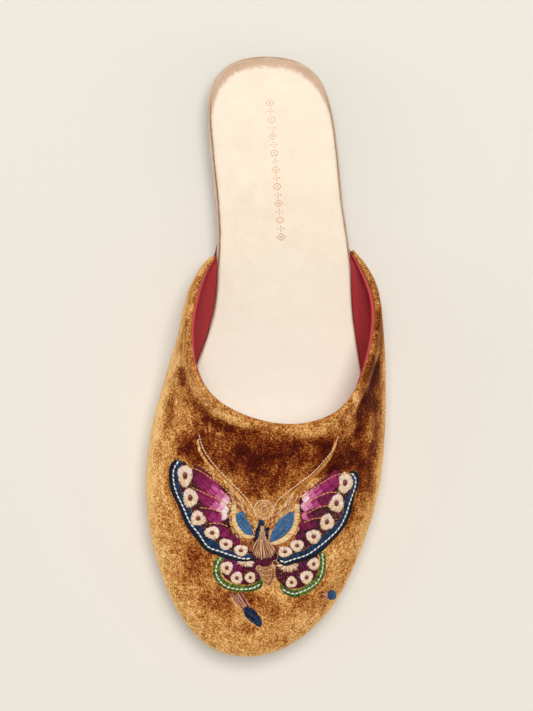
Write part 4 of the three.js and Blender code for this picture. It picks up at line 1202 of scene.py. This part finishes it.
def eyespot(st, x, y, rx, ry, lift=0.22, n=None):
    """A ring of radial satin stitches round a small knot."""
    n = n or int(2 * math.pi * max(rx, ry) / 0.33)
    turn = rng.uniform(0, 6.28)
    for i in range(n):
        a = 2 * math.pi * i / n + rng.uniform(-0.05, 0.05)
        c, s = math.cos(a), math.sin(a)
        k = 1.06 + 0.08 * math.sin(3 * a + turn) + rng.uniform(-0.07, 0.07)
        shade = ["cream", "cream", "cream2", "p4"][rng.integers(4)] if s > -0.3 else ["cream", "cream2"][rng.integers(2)]
        st.add((x + rx * 0.30 * c, y + ry * 0.30 * s), (x + rx * k * c, y + ry * k * s), shade,
               width=0.48, lift=lift, arch=0.30)
    for i in range(5):
        a = math.pi * i / 5 + 0.4
        st.add((x - 0.36 * rx * math.cos(a), y - 0.36 * ry * math.sin(a)), (x + 0.36 * rx * math.cos(a), y + 0.36 * ry * math.sin(a)),
               ["brown", "rust", "maroon2"][i % 3], width=0.44, lift=lift + 0.10, arch=0.12)
    st.add((x - 0.22 * rx, y + 0.10 * ry), (x + 0.16 * rx, y + 0.22 * ry), "tan2", width=0.34, lift=lift + 0.26, arch=0.08)


def lobe(st, x, y, a, b, angle, colours, lift):
    """One rounded scale of satin stitch, darker at its root and sides as painted shade, with plum stitches round its
    end as a painted shadow; its round end points along the angle.
    """
    e = np.array([math.cos(math.radians(angle)), math.sin(math.radians(angle))])
    s = np.array([-e[1], e[0]])
    c = np.array([x, y])
    # plum stitches round the round end: a painted shadow where the scale lies over the next
    for t in np.linspace(-1.0, 1.0, max(5, int(b * 3.2))):
        p = c + s * b * 1.04 * t + e * (a * (0.16 + 1.0 * math.sqrt(max(0.0, 1 - t * t))))
        d = np.array([s[0] * math.cos(t), s[1] * math.cos(t)]) - e * math.sin(t) * 0.9
        st.add(p - d * 0.5, p + d * 0.5, "plum", width=0.44, lift=lift - 0.06, arch=0.08)
    for q in np.arange(-b + 0.12, b, 0.33):
        w = math.sqrt(max(0.0, 1 - (q / b) ** 2))
        lo, hi = -a * (0.55 + 0.45 * w), a * (0.05 + 0.95 * w)
        edge = abs(q) > b * 0.82
        mid = lo + (hi - lo) * rng.uniform(0.30, 0.52)
        # the root and the sides take the darker colours: painted shade under the scale before it, lighter towards the
        # tip
        root, tip = (colours[0], colours[0]) if edge else (colours[rng.integers(2)], colours[rng.integers(1, len(colours))])
        st.add(c + s * q + e * (lo + rng.uniform(-0.15, 0.15)), c + s * q + e * (mid + 0.25), root, width=0.44, lift=lift - 0.04, arch=0.30)
        st.add(c + s * (q + 0.05) + e * (mid - 0.25), c + s * q + e * (hi + rng.uniform(-0.08, 0.08)), tip, width=0.46, lift=lift + 0.04 - 0.10 * edge, arch=0.34)


FWL_OUT = [(-38.5, -43.7), (-40.4, -45.8), (-41.0, -50.7), (-40.3, -56.0), (-37.1, -62.9), (-34.1, -70.3), (-29.8, -76.4), (-24.5, -82.0), (-20.8, -83.2), (-14.8, -85.1), (-9.9, -85.6), (-6.1, -85.0)]
FWL_IN = [(-35.5, -44.0), (-36.9, -47.3), (-37.5, -51.4), (-36.3, -57.2), (-33.4, -62.0), (-30.8, -68.1), (-27.0, -72.6), (-23.3, -76.6), (-19.7, -79.4), (-14.8, -81.8), (-10.8, -82.8), (-6.1, -82.8)]
FWL_RUN = [(-37.5, -44.2), (-39.3, -47.4), (-39.5, -51.9), (-38.3, -57.2), (-35.5, -63.3), (-32.6, -69.8), (-28.7, -74.9), (-24.5, -80.4), (-20.5, -81.7), (-14.8, -83.6), (-10.0, -84.8), (-7.1, -84.6)]
FWR_OUT = [(34.0, -48.3), (36.6, -48.8), (37.4, -52.9), (35.6, -58.7), (34.5, -65.2), (30.9, -72.6), (26.4, -77.4), (21.9, -81.9), (16.1, -85.1), (11.2, -86.3), (7.1, -87.5), (3.4, -85.0)]
FWR_IN = [(32.8, -49.1), (34.7, -52.0), (34.3, -57.0), (32.2, -60.2), (31.5, -65.1), (27.9, -70.8), (23.4, -74.9), (18.9, -78.5), (14.8, -81.3), (10.3, -82.5), (6.6, -84.4), (4.2, -83.3)]
FWR_RUN = [(34.5, -48.7), (36.3, -51.3), (35.9, -55.4), (34.0, -61.1), (32.8, -65.6), (29.6, -72.1), (25.1, -76.6), (20.6, -80.2), (15.7, -83.4), (10.3, -85.0), (6.7, -86.2), (4.0, -85.0)]
LOBES_L = [(-29.9, -49.5, 2.9, 3.2, "m1"), (-26.7, -52.3, 3.2, 3.4, "m2"), (-23.4, -55.3, 2.9, 2.9, "m3"), (-20.9, -57.8, 2.3, 2.4, "p1"), (-18.5, -60.1, 2.1, 2.2, "p3"),
           (-27.7, -58.2, 2.6, 2.4, "m2"), (-25.3, -60.2, 2.7, 2.7, "m2"), (-22.8, -61.8, 2.3, 2.3, "p1"), (-20.6, -62.8, 2.1, 2.1, "p2"), (-18.6, -64.2, 1.8, 1.9, "p4"),
           (-26.4, -65.0, 2.3, 2.1, "m1"), (-24.0, -66.6, 2.6, 2.6, "m2"), (-21.4, -68.2, 2.3, 2.3, "m3"), (-19.0, -66.8, 1.8, 1.8, "p3"),
           (-21.0, -71.8, 2.4, 1.9, "m1"), (-18.7, -73.7, 2.3, 2.1, "m2"), (-16.0, -76.0, 2.1, 1.8, "m1"), (-13.7, -77.4, 1.9, 1.6, "m1")]
# the outer wing's scales take darker colours (d1) than the inner wing's: painted shade of the satin sheen falling the
# other way
LOBES_R = [(27.7, -51.1, 3.2, 3.2, "m2"), (24.5, -53.5, 3.2, 3.2, "m2"), (21.4, -55.5, 2.9, 2.9, "m3"), (18.6, -57.1, 2.4, 2.4, "p1"), (15.9, -58.9, 2.3, 2.3, "p3"),
           (25.8, -58.4, 2.9, 2.6, "m1"), (23.0, -59.6, 2.9, 2.7, "m1"), (20.1, -60.8, 2.6, 2.6, "m3"), (17.4, -61.5, 2.3, 2.3, "p1"), (15.2, -62.5, 1.9, 2.1, "p2"),
           (23.1, -64.5, 2.4, 2.3, "d1"), (20.6, -65.3, 2.7, 2.6, "d1"), (17.9, -66.1, 2.4, 2.4, "m1"), (15.7, -66.5, 2.1, 2.1, "p1"),
           (19.9, -69.8, 2.4, 2.3, "d1"), (17.0, -69.8, 2.6, 2.4, "m1"), (14.6, -70.7, 2.1, 2.1, "m1"),
           (15.0, -74.3, 2.4, 2.3, "d1"), (13.0, -75.3, 1.9, 1.9, "d1"), (16.8, -76.8, 1.9, 1.6, "d1")]
EYES_L = [(-34.7, -50.2, 3.0, 4.5), (-32.5, -59.5, 3.0, 3.9), (-29.2, -68.1, 3.0, 3.1), (-23.3, -74.1, 3.0, 2.7), (-17.7, -78.8, 2.6, 2.3), (-11.4, -81.3, 2.7, 2.3)]
EYES_R = [(31.7, -52.8, 3.1, 4.2), (28.2, -61.4, 3.1, 3.8), (24.3, -69.3, 2.9, 3.5), (18.8, -75.4, 3.0, 2.9), (11.9, -79.2, 2.7, 2.4), (6.8, -81.7, 2.8, 2.2)]


def jig(colour):
    near = {"m1": ["d1", "m1", "m1", "m2"], "m2": ["m1", "m2", "m2", "m3"], "m3": ["m2", "m3", "p1", "m3"], "d1": ["plum", "d1", "d1", "m1"],
            "p1": ["m3", "p1", "p1", "p2"], "p2": ["p1", "p2", "p3"], "p3": ["p2", "p3", "p4"], "p4": ["p3", "p4", "white"]}
    return near[colour]


def forewing(st, side, out, inn, run, lobes, eyes, angle, gold, brown, halo, oval, loop, lead, splits):
    under = ["d1", "plum", "maroon"] if side < 0 else ["plum", "maroon", "d1"]
    body = [tuple(p) for p in (lead + inn[::-1])]
    fill(st, body, angle, under, spacing=0.40, longest=4.0, width=0.5, lift=0.0, arch=0.10)
    fill(st, gold, 90 - side * 28, ["gold", "gold2", "gold", "rust", "gold2", "pale"], spacing=0.38, longest=1.5, ragged=0.4, width=0.46, lift=0.08, arch=0.22)
    fill(st, brown, 90 + side * 20, ["brown2", "gold2", "rust"], spacing=0.38, longest=2.0, ragged=0.3, lift=0.12, arch=0.2)
    for k, (x, y, a, b, c) in enumerate(sorted(lobes, key=lambda q: side * q[0])):
        lobe(st, x, y, a * 1.12, b * 1.05, angle, jig(c), 0.14 + 0.014 * k)
    rails(st, out, inn, ["navy2", "navy", "navy2"], spacing=0.36, slant=0.8, width=0.5, lift=0.16, arch=0.36)
    dashes(st, out, "ink", dash=1.6, gap=-0.5, slant=0.10, width=1.15, lift=0.38, arch=0.16)
    for e in eyes:
        eyespot(st, *e, lift=0.50)
    rails(st, [(x + side * 0.7, y - 0.5) for x, y in halo], [(x - side * 1.5, y + 0.9) for x, y in halo], ["pale", "cream", "pale", "gold"], spacing=0.34, slant=1.1, width=0.44, lift=0.24, arch=0.22)
    fill(st, oval, 90 - side * 33, ["blue", "blue", "blue2"], spacing=0.34, longest=3.4, ragged=0.05, lift=0.30, arch=0.30)
    for path, c in [(lead, "gold")] + [(s, "gold") for s in splits]:
        dashes(st, path, c, dash=1.3, gap=0.35, width=0.44, lift=0.92, arch=0.16)
    for shift in (0.0, 1.0):
        dashes(st, [(x + shift * side * -0.7, y - shift * 0.5) for x, y in loop], "cream2", dash=1.0, gap=0.3, width=0.36, lift=0.42, arch=0.12)
    dashes(st, run, "white", dash=1.55, gap=0.35, slant=0.10, width=0.66, lift=0.52, arch=0.22, jitter=0.03)


GOLD_L = [(-16.2, -56.8), (-11.8, -61.6), (-7.8, -64.4), (-6.0, -68.9), (-6.2, -75.5), (-7.6, -77.6), (-12.4, -78.1), (-14.9, -74.8), (-16.1, -69.9), (-17.0, -65.0), (-17.4, -60.9)]
GOLD_R = [(10.6, -56.6), (5.8, -61.5), (2.2, -64.3), (-0.1, -68.9), (0.2, -76.3), (1.7, -79.2), (7.0, -80.0), (11.0, -77.1), (13.4, -73.9), (13.5, -69.7), (12.8, -64.8), (12.3, -60.7)]
left_wing = Stitches("butterfly_forewing_inner")
forewing(left_wing, -1, FWL_OUT, FWL_IN, FWL_RUN, LOBES_L, EYES_L, -42, GOLD_L,
         [(-12.4, -77.6), (-7.6, -76.3), (-5.8, -78.4), (-6.6, -82.1), (-9.6, -80.9), (-12.3, -79.3)],
         [(-15.0, -61.7), (-14.9, -66.2), (-13.9, -71.1), (-11.2, -74.6), (-7.0, -76.2)],
         [(-12.7, -65.1), (-11.1, -65.0), (-9.2, -67.7), (-7.3, -71.4), (-6.5, -74.8), (-8.5, -74.9), (-11.3, -72.7), (-13.2, -69.4), (-13.8, -66.6)],
         [(-16.3, -55.5), (-15.0, -60.8), (-12.6, -65.3), (-10.8, -66.5), (-11.2, -62.8), (-13.0, -58.8), (-16.0, -55.3)],
         [(-33.5, -46.3), (-29.5, -47.4), (-24.7, -50.2), (-19.9, -53.6), (-15.4, -57.8)],
         [[(-31.7, -55.0), (-27.0, -57.0), (-22.2, -59.2), (-17.4, -61.7)], [(-28.2, -63.4), (-23.8, -63.8), (-18.2, -66.0)], [(-24.6, -70.0), (-20.5, -69.8), (-16.5, -71.2)]])
right_wing = Stitches("butterfly_forewing_outer")
forewing(right_wing, 1, FWR_OUT, FWR_IN, FWR_RUN, LOBES_R, EYES_R, 222, GOLD_R,
         [(2.1, -78.3), (6.9, -77.1), (11.8, -76.3), (13.1, -78.4), (8.6, -80.8), (3.7, -81.6)],
         [(12.0, -61.5), (11.9, -67.2), (10.6, -72.6), (7.0, -76.7), (1.9, -78.7)],
         [(9.8, -64.8), (10.4, -66.8), (9.9, -70.1), (7.5, -73.8), (4.1, -76.3), (0.6, -77.7), (0.6, -75.4), (2.3, -71.3), (4.9, -67.6), (7.7, -65.6)],
         [(9.1, -57.4), (7.0, -60.6), (4.6, -64.7), (4.3, -67.0), (6.7, -66.0), (8.4, -61.9), (9.3, -57.8)],
         [(34.3, -49.0), (28.5, -49.0), (22.8, -51.6), (17.5, -55.2), (12.7, -59.5)],
         [[(29.6, -56.8), (24.5, -56.6), (19.2, -58.7), (14.3, -61.5)], [(26.8, -62.1), (21.4, -62.6), (16.5, -64.8), (13.6, -66.4)], [(23.6, -67.4), (19.0, -67.6), (14.1, -69.3)]])

hind = Stitches("butterfly_hindwings")
HWL_OUT = [(-20.4, -83.8), (-22.2, -85.7), (-23.2, -89.8), (-22.1, -94.0), (-19.5, -97.1), (-14.6, -99.0), (-9.8, -99.2), (-4.9, -98.6), (-2.3, -96.6), (-2.1, -94.4)]
HWL_IN = [(-17.4, -84.3), (-19.2, -86.4), (-20.0, -90.2), (-18.7, -93.5), (-15.9, -95.5), (-12.2, -96.3), (-8.2, -96.4), (-5.4, -95.6), (-3.4, -93.7), (-3.0, -92.9)]
HWL_RUN = [(-19.6, -84.4), (-21.2, -87.3), (-21.7, -90.6), (-20.5, -93.9), (-18.3, -96.2), (-14.3, -97.7), (-9.8, -97.9), (-5.7, -97.2), (-3.3, -95.8)]
HWR_OUT = [(21.5, -82.3), (23.7, -82.8), (24.7, -87.4), (23.7, -93.3), (20.2, -97.8), (15.7, -100.6), (11.5, -101.8), (8.2, -100.6), (5.9, -98.6), (5.0, -96.6)]
HWR_IN = [(21.1, -83.1), (21.8, -84.4), (21.9, -88.2), (20.5, -92.7), (17.6, -95.6), (13.9, -98.0), (10.6, -98.4), (7.7, -97.5), (6.1, -96.1), (5.6, -95.0)]
HWR_RUN = [(22.6, -82.7), (23.2, -86.5), (22.8, -90.7), (21.4, -94.4), (18.1, -97.3), (14.4, -99.1), (10.7, -99.9), (7.8, -98.9), (5.5, -97.5)]
fill(hind, [(-18.4, -85.0), (-6.3, -86.2), (-3.4, -90.0), (-3.0, -93.3), (-6.6, -95.8), (-11.4, -96.2), (-15.5, -95.2), (-18.9, -92.2), (-19.4, -88.0)], 70, ["d1", "maroon2", "maroon"], longest=3.8, lift=0.02, arch=0.16)
fill(hind, [(-18.4, -84.9), (-12.4, -85.9), (-10.9, -88.0), (-12.3, -91.0), (-15.5, -91.6), (-18.4, -89.7)], 60, ["m2", "m1", "purple"], longest=3.4, lift=0.12, arch=0.2)
fill(hind, [(3.4, -87.2), (12.8, -86.6), (20.8, -83.8), (21.4, -88.9), (19.8, -94.0), (13.6, -97.8), (7.3, -97.3), (4.4, -94.5), (3.1, -91.2)], 110, ["maroon", "maroon2", "d1"], longest=3.8, lift=0.02, arch=0.16)
fill(hind, [(13.0, -86.6), (20.6, -84.0), (21.2, -87.3), (18.6, -89.6), (14.6, -89.4)], 120, ["d1", "m1", "purple"], longest=3.2, lift=0.12, arch=0.2)
for out, inn, run in ((HWL_OUT, HWL_IN, HWL_RUN), (HWR_OUT, HWR_IN, HWR_RUN)):
    rails(hind, out, inn, ["green", "green2", "green2", "green3"], spacing=0.36, slant=0.7, width=0.5, lift=0.14, arch=0.34)
    dashes(hind, run, "white", dash=1.5, gap=0.35, slant=0.10, width=0.62, lift=0.46, arch=0.22, jitter=0.03)
for x, y, r in ((-17.2, -88.9, 2.5), (-13.0, -93.2, 2.4), (-7.4, -92.9, 2.1), (19.2, -87.3, 2.4), (16.3, -93.0, 2.6), (9.9, -95.0, 2.2)):
    eyespot(hind, x, y, r, r * 1.06, lift=0.34)
for x, y, a0, a1, r in ((-9.2, -85.6, 190, 350, 4.4), (8.2, -86.9, 170, 358, 5.4)):
    for a in np.arange(a0, a1, 5.0):
        e = np.array([math.cos(math.radians(a)), 0.72 * math.sin(math.radians(a))])
        c = np.array([x, y])
        hind.add(c + e * 0.6, c + e * r * rng.uniform(0.75, 1.1), ["cream", "white", "cream2", "tan", "brown2"][rng.integers(5)], width=0.4, lift=0.34, arch=0.2)
for run in ([(-17.5, -84.3), (-13.0, -86.2), (-9.0, -87.0)], [(9.0, -88.2), (13.5, -87.4), (17.5, -85.2)]):
    rails(hind, run, [(x, y - 1.1) for x, y in run], ["navy", "navy2"], spacing=0.36, slant=0.3, lift=0.2, arch=0.2)

body = Stitches("butterfly_body")
THORAX = [(-3.5, -68.0), (-4.6, -70.5), (-5.5, -73.8), (-5.2, -76.8), (-0.6, -77.0), (-0.4, -73.8), (-1.6, -70.9), (-2.7, -68.3)]
fill(body, THORAX, 84, ["navy", "navy2"], longest=3.6, lift=0.18, arch=0.26)
fill(body, [(-2.9, -70.6), (-3.9, -74.2), (-4.6, -77.6), (-0.6, -77.8), (-1.5, -74.4), (-2.4, -70.6)], 88, ["tan", "tan2", "cream2"], longest=3.4, lift=0.40, arch=0.28)
fill(body, circle(-0.5, -72.2, 0.8), 90, ["navy"], spacing=0.3, lift=0.4, arch=0.2)
fill(body, circle(-0.7, -74.9, 0.6), 90, ["navy"], spacing=0.3, lift=0.4, arch=0.2)
fill(body, [(-6.9, -82.2), (-1.9, -82.8), (3.1, -81.9), (3.3, -85.6), (1.0, -87.6), (-1.8, -88.3), (-4.7, -87.6), (-6.7, -85.4)], 90, ["maroon", "maroon", "maroon2"], longest=3.0, lift=0.20, arch=0.26)
NT = 39
top_a = resample(smooth_path([(-4.7, -77.0), (-2.9, -76.2), (-0.7, -77.1)], False, 8), count=NT)
bot_a = resample(smooth_path([(-7.0, -81.6), (-5.6, -84.2), (-1.9, -85.2), (1.5, -84.2), (3.2, -81.4)], False, 8), count=NT)
for i in range(NT):
    c = ["tan", "cream2", "maroon2", "tan2", "peach", "brown2", "tan", "maroon"][i % 8]
    end = bot_a[i] + (bot_a[i] - top_a[i]) * rng.uniform(-0.22, 0.04)
    body.add(top_a[i], end, c, width=0.36, lift=0.40 + 0.1 * (i % 3), arch=0.42, bow=rng.uniform(-0.25, 0.25))
for i in range(1, NT - 1, 3):
    f = rng.uniform(0.35, 0.6)
    body.add(top_a[i] * (1 - f) + bot_a[i] * f, bot_a[i] + rng.normal(0, 0.3, 2) * (0.3, 1), ["cream", "tan", "cream2"][i % 3], width=0.34, lift=0.62, arch=0.26)
for i in range(0, NT, 2):
    body.add(bot_a[i] * 0.72 + top_a[i] * 0.28, bot_a[i] + (bot_a[i] - top_a[i]) * rng.uniform(0.12, 0.34), ["maroon", "plum", "maroon2"][i % 3], width=0.40, lift=0.34, arch=0.30)
TAIL = [(-4.3, -87.6), (0.9, -87.6), (2.7, -89.7), (2.4, -93.3), (0.3, -96.6), (-1.7, -95.2), (-3.6, -91.2), (-5.1, -88.9)]
fill(body, TAIL, 80, ["tan2", "gold2", "brown2"], longest=2.4, ragged=0.3, lift=0.06, arch=0.2)
tc = np.array([-1.0, -91.2])
for k in (1.02, 0.66):
    dashes(body, [tuple(tc + (np.array(p) - tc) * k) for p in TAIL + TAIL[:1]], "cream2" if k > 1 else "tan", dash=0.8, gap=0.35, width=0.34, lift=0.32, arch=0.12)
for x, y, r in ((2.9, -86.7, 1.3), (-3.9, -88.6, 0.9)):
    dashes(body, circle(x, y, r), "cream2", dash=0.7, gap=0.1, width=0.36, lift=0.5, arch=0.12)
fill(body, circle(2.9, -86.7, 0.75), 90, ["brown"], spacing=0.28, lift=0.45, arch=0.12)
for i in range(7):
    y = -88.6 - 1.05 * i
    w = 2.6 * math.sqrt(max(0.05, 1 - ((y + 90.6) / 6.4) ** 2))
    x = -1.1 + 0.10 * i
    dashes(body, [(x - w, y + 0.5), (x, y - 0.45), (x + w, y + 0.5)], ["tan2", "cream2"][i % 2], dash=0.8, gap=0.14, width=0.34, lift=0.40, arch=0.1)
# head and antennae
HEAD = (-2.3, -63.8)
fill(body, circle(*HEAD, 4.1), 35, ["gold", "gold2", "tan2", "gold"], longest=2.0, ragged=0.3, lift=0.06, arch=0.2)
dashes(body, circle(*HEAD, 3.9, 1.0, 0.6), "cream", dash=1.0, gap=0.28, width=0.42, lift=0.34, arch=0.14)
dashes(body, circle(*HEAD, 2.7, 1.6, 1.2, grow=-0.42), "cream", dash=0.8, gap=0.2, width=0.38, lift=0.36, arch=0.14)
dashes(body, circle(*HEAD, 3.3, 0.8, 3.2), "pale", dash=0.9, gap=0.3, width=0.34, lift=0.3, arch=0.12)
fill(body, [(-7.4, -61.0), (-9.6, -58.6), (-8.0, -64.6), (-5.6, -69.0), (-4.4, -68.4), (-6.4, -64.4)], 60, ["gold", "gold2"], lift=0.06, arch=0.2)
ANT_L = [(-29.2, -32.9), (-28.0, -37.4), (-24.7, -43.0), (-19.9, -48.7), (-15.1, -53.5), (-10.7, -57.9), (-7.4, -62.4), (-5.4, -66.8)]
ANT_R = [(28.0, -33.1), (26.9, -37.2), (23.3, -42.4), (17.7, -48.5), (12.1, -52.9), (6.9, -57.0), (3.0, -60.6), (1.2, -64.3)]
GOLD_A = [(-30.1, -35.0), (-29.1, -39.4), (-25.7, -45.0), (-21.0, -50.0), (-16.3, -54.6), (-12.1, -58.9), (-9.1, -62.8), (-7.0, -66.9)]
GOLD_B = [(27.6, -35.4), (24.6, -42.8), (19.1, -49.0), (13.7, -53.6), (8.6, -57.8), (4.8, -61.3), (2.8, -64.9)]
rails(body, [(x + 0.6, y + 0.4) for x, y in GOLD_A], [(x - 0.3, y - 0.4) for x, y in GOLD_A], ["gold", "pale", "gold2", "gold"], spacing=0.4, slant=1.2, width=0.42, lift=0.06, arch=0.22)
rails(body, [(x - 0.7, y + 0.4) for x, y in GOLD_B], [(x + 0.45, y - 0.5) for x, y in GOLD_B], ["gold2", "gold", "gold2"], spacing=0.42, slant=1.2, width=0.4, lift=0.04, arch=0.18)
for path in (ANT_L, ANT_R):
    dashes(body, path, "cream", dash=1.05, gap=0.24, slant=0.06, width=0.44, lift=0.26, arch=0.14, jitter=0.04)
for path in ([(-4.6, -67.6), (-7.2, -66.4), (-9.6, -62.8), (-12.8, -59.0), (-15.4, -55.6)], [(0.4, -66.8), (3.6, -65.4), (6.6, -61.4), (9.6, -58.2), (10.4, -56.4)]):
    dashes(body, path, "cream2", dash=0.95, gap=0.3, width=0.36, lift=0.3, arch=0.12)

# the small petal under the wings, and the dot beside them
petal = Stitches("petal_and_dot")
LEAF = [(-10.1, -105.7), (-7.2, -105.9), (-3.9, -108.8), (-2.1, -113.1), (-2.5, -114.3), (-5.5, -112.9), (-8.4, -110.5), (-9.8, -108.2)]
fill(petal, LEAF, -47, ["navy", "navy", "navy2", "navy2"], longest=3.2, lift=0.16, arch=0.34)
halo = [(-15.6, -102.2), (-12.9, -106.8), (-9.9, -110.6), (-6.3, -113.6), (-3.0, -115.1)]
rails(petal, halo, [(x + 0.9, y + 0.9) for x, y in halo], ["gold", "pale", "gold2"], spacing=0.44, slant=0.9, width=0.4, lift=0.0, arch=0.2)
for i in range(11):
    f = i / 10
    a = np.array([-15.4, -100.4]) * (1 - f) + np.array([-11.2, -99.4]) * f
    b = np.array([-10.6, -107.2]) * (1 - f) + np.array([-6.8, -106.2]) * f
    petal.add(a + rng.normal(0, 0.25, 2), b + rng.normal(0, 0.35, 2), ["peach", "tan", "m3", "tan2", "cream2", "brown"][i % 6], width=0.34, lift=0.16, arch=0.3, bow=0.5 * (f - 0.5))
fill(petal, circle(27.6, -101.3, 2.1, ry=2.3), 60, ["navy2", "blue2", "navy2"], spacing=0.34, lift=0.12, arch=0.34)
for a in np.arange(140, 226, 9.0):
    e = np.array([math.cos(math.radians(a)), math.sin(math.radians(a))])
    petal.add(np.array([26.4, -101.2]) + e * 0.2, np.array([26.4, -101.2]) + e * rng.uniform(2.4, 3.8), ["peach", "brown2", "tan", "brown"][rng.integers(4)], width=0.36, lift=0.14, arch=0.24)

for st in (left_wing, right_wing, hind, body, petal):
    st.build()


# ------------------------------------------------------------------ stamped ornament on the insole
def stamped():
    """A narrow band of small lozenges and dots, gold foil pressed in the leather."""
    dg = bpy.context.evaluated_depsgraph_get()
    tree = BVHTree.FromObject(insole, dg)
    a, b = np.array([1.0, 108.3]), np.array([6.2, 51.2])
    e = (b - a) / np.linalg.norm(b - a)
    s = np.array([-e[1], e[0]])
    total = np.linalg.norm(b - a)
    verts, faces = [], []

    def plate(outline):
        n = len(outline)
        base = len(verts)
        for dz in (0.05, -0.25):
            for q in outline:
                w = put([q[0], q[1], 60.0])
                hit, nn, _, _ = tree.ray_cast(Vector(w), Vector((0, 0, -1)))
                verts.append((w[0], w[1], (hit.z if hit else 0.02) + dz * 0.001))
        faces.append(tuple(range(base, base + n)))
        faces.append(tuple(range(base + 2 * n - 1, base + n - 1, -1)))
        for i in range(n):
            j = (i + 1) % n
            faces.append((base + i, base + n + i, base + n + j, base + j))

    def ring_plates(c, r1, r2, ratio, n):
        for q in range(n):
            t0, t1 = 2 * math.pi * q / n, 2 * math.pi * (q + 1) / n
            pts = [(r1, t0), (r1, t1), (r2, t1), (r2, t0)]
            plate([c + e * r * math.cos(t) + s * r * ratio * math.sin(t) for r, t in pts])

    k = 17
    for i in range(k):
        c = a + e * total * i / (k - 1)
        if i % 4 == 0:
            ring_plates(c, 1.75, 1.25, 1.10, 4)
            plate([c + e * 0.5 * math.cos(t) + s * 0.5 * math.sin(t) for t in np.arange(8) * math.pi / 4])
        elif i % 4 == 2:
            ring_plates(c, 1.5, 1.05, 1.10, 12)
            plate([c + e * 0.4 * math.cos(t) + s * 0.4 * math.sin(t) for t in np.arange(8) * math.pi / 4])
        else:
            for u, v in ((1.0, 0.0), (-1.0, 0.0), (0.0, 1.2), (0.0, -1.2), (0.0, 0.0)):
                plate([c + e * (u + 0.36 * math.cos(t)) + s * (v + 0.36 * math.sin(t)) for t in np.arange(8) * math.pi / 4])
    ob = mesh_object("stamped_ornament", verts, faces, [FOIL], False)
    fix_normals(ob)
    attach(ob, "root")


stamped()

# ------------------------------------------------------------------ floor and light
floor_m = Shader("pale_floor", Roughness=0.95, Specular_IOR_Level=0.05)
floor_m.bsdf.inputs["Base Color"].default_value = (0.705, 0.675, 0.615, 1)
floor_m.bsdf.inputs["Emission Color"].default_value = (1.0, 0.955, 0.87, 1)
floor_m.bsdf.inputs["Emission Strength"].default_value = 0.14
fl = mesh_object("floor", [(-6, -6, 0), (6, -6, 0), (6, 6, 0), (-6, 6, 0)], [(0, 1, 2, 3)], [floor_m.mat], False)

world = bpy.data.worlds.new("studio")
scene.world = world
world.use_nodes = True
wt = world.node_tree
bg = wt.nodes["Background"] if "Background" in wt.nodes else wt.nodes.new("ShaderNodeBackground")
coord = wt.nodes.new("ShaderNodeTexCoord")
sep = wt.nodes.new("ShaderNodeSeparateXYZ")
rampn = wt.nodes.new("ShaderNodeValToRGB")
wt.links.new(coord.outputs["Generated"], sep.inputs[0])
wt.links.new(sep.outputs["Z"], rampn.inputs[0])
el = rampn.color_ramp.elements
el[0].position, el[0].color = 0.05, (1.0, 0.965, 0.86, 1)
el[1].position, el[1].color = 0.30, (0.36, 0.352, 0.338, 1)
wt.links.new(rampn.outputs[0], bg.inputs["Color"])
bg.inputs["Strength"].default_value = 0.74


def area(name, loc, target, size, power, colour=(1, 1, 1)):
    light = bpy.data.lights.new(name, "AREA")
    light.shape, light.size, light.energy, light.color = "SQUARE", size, power, colour
    ob = bpy.data.objects.new(name, light)
    scene.collection.objects.link(ob)
    ob.location = loc
    ob.rotation_euler = (Vector(target) - Vector(loc)).to_track_quat("-Z", "Y").to_euler()
    return ob


area("overhead", (0.07, 0.46, 2.25), (0, 0, 0), 1.1, 39.0, (1.0, 0.99, 0.97))
area("low_left", (-4.8, -0.3, 2.06), (0, 0, 0.02), 3.0, 32.4, (1.0, 0.98, 0.95))
area("low_right", (4.8, -1.5, 2.06), (0, 0, 0.02), 3.0, 19.8, (1.0, 0.98, 0.95))
scene.view_settings.view_transform = "Standard"
scene.view_settings.look = "None"
scene.view_settings.exposure = 0.0
scene.view_settings.gamma = 1.0
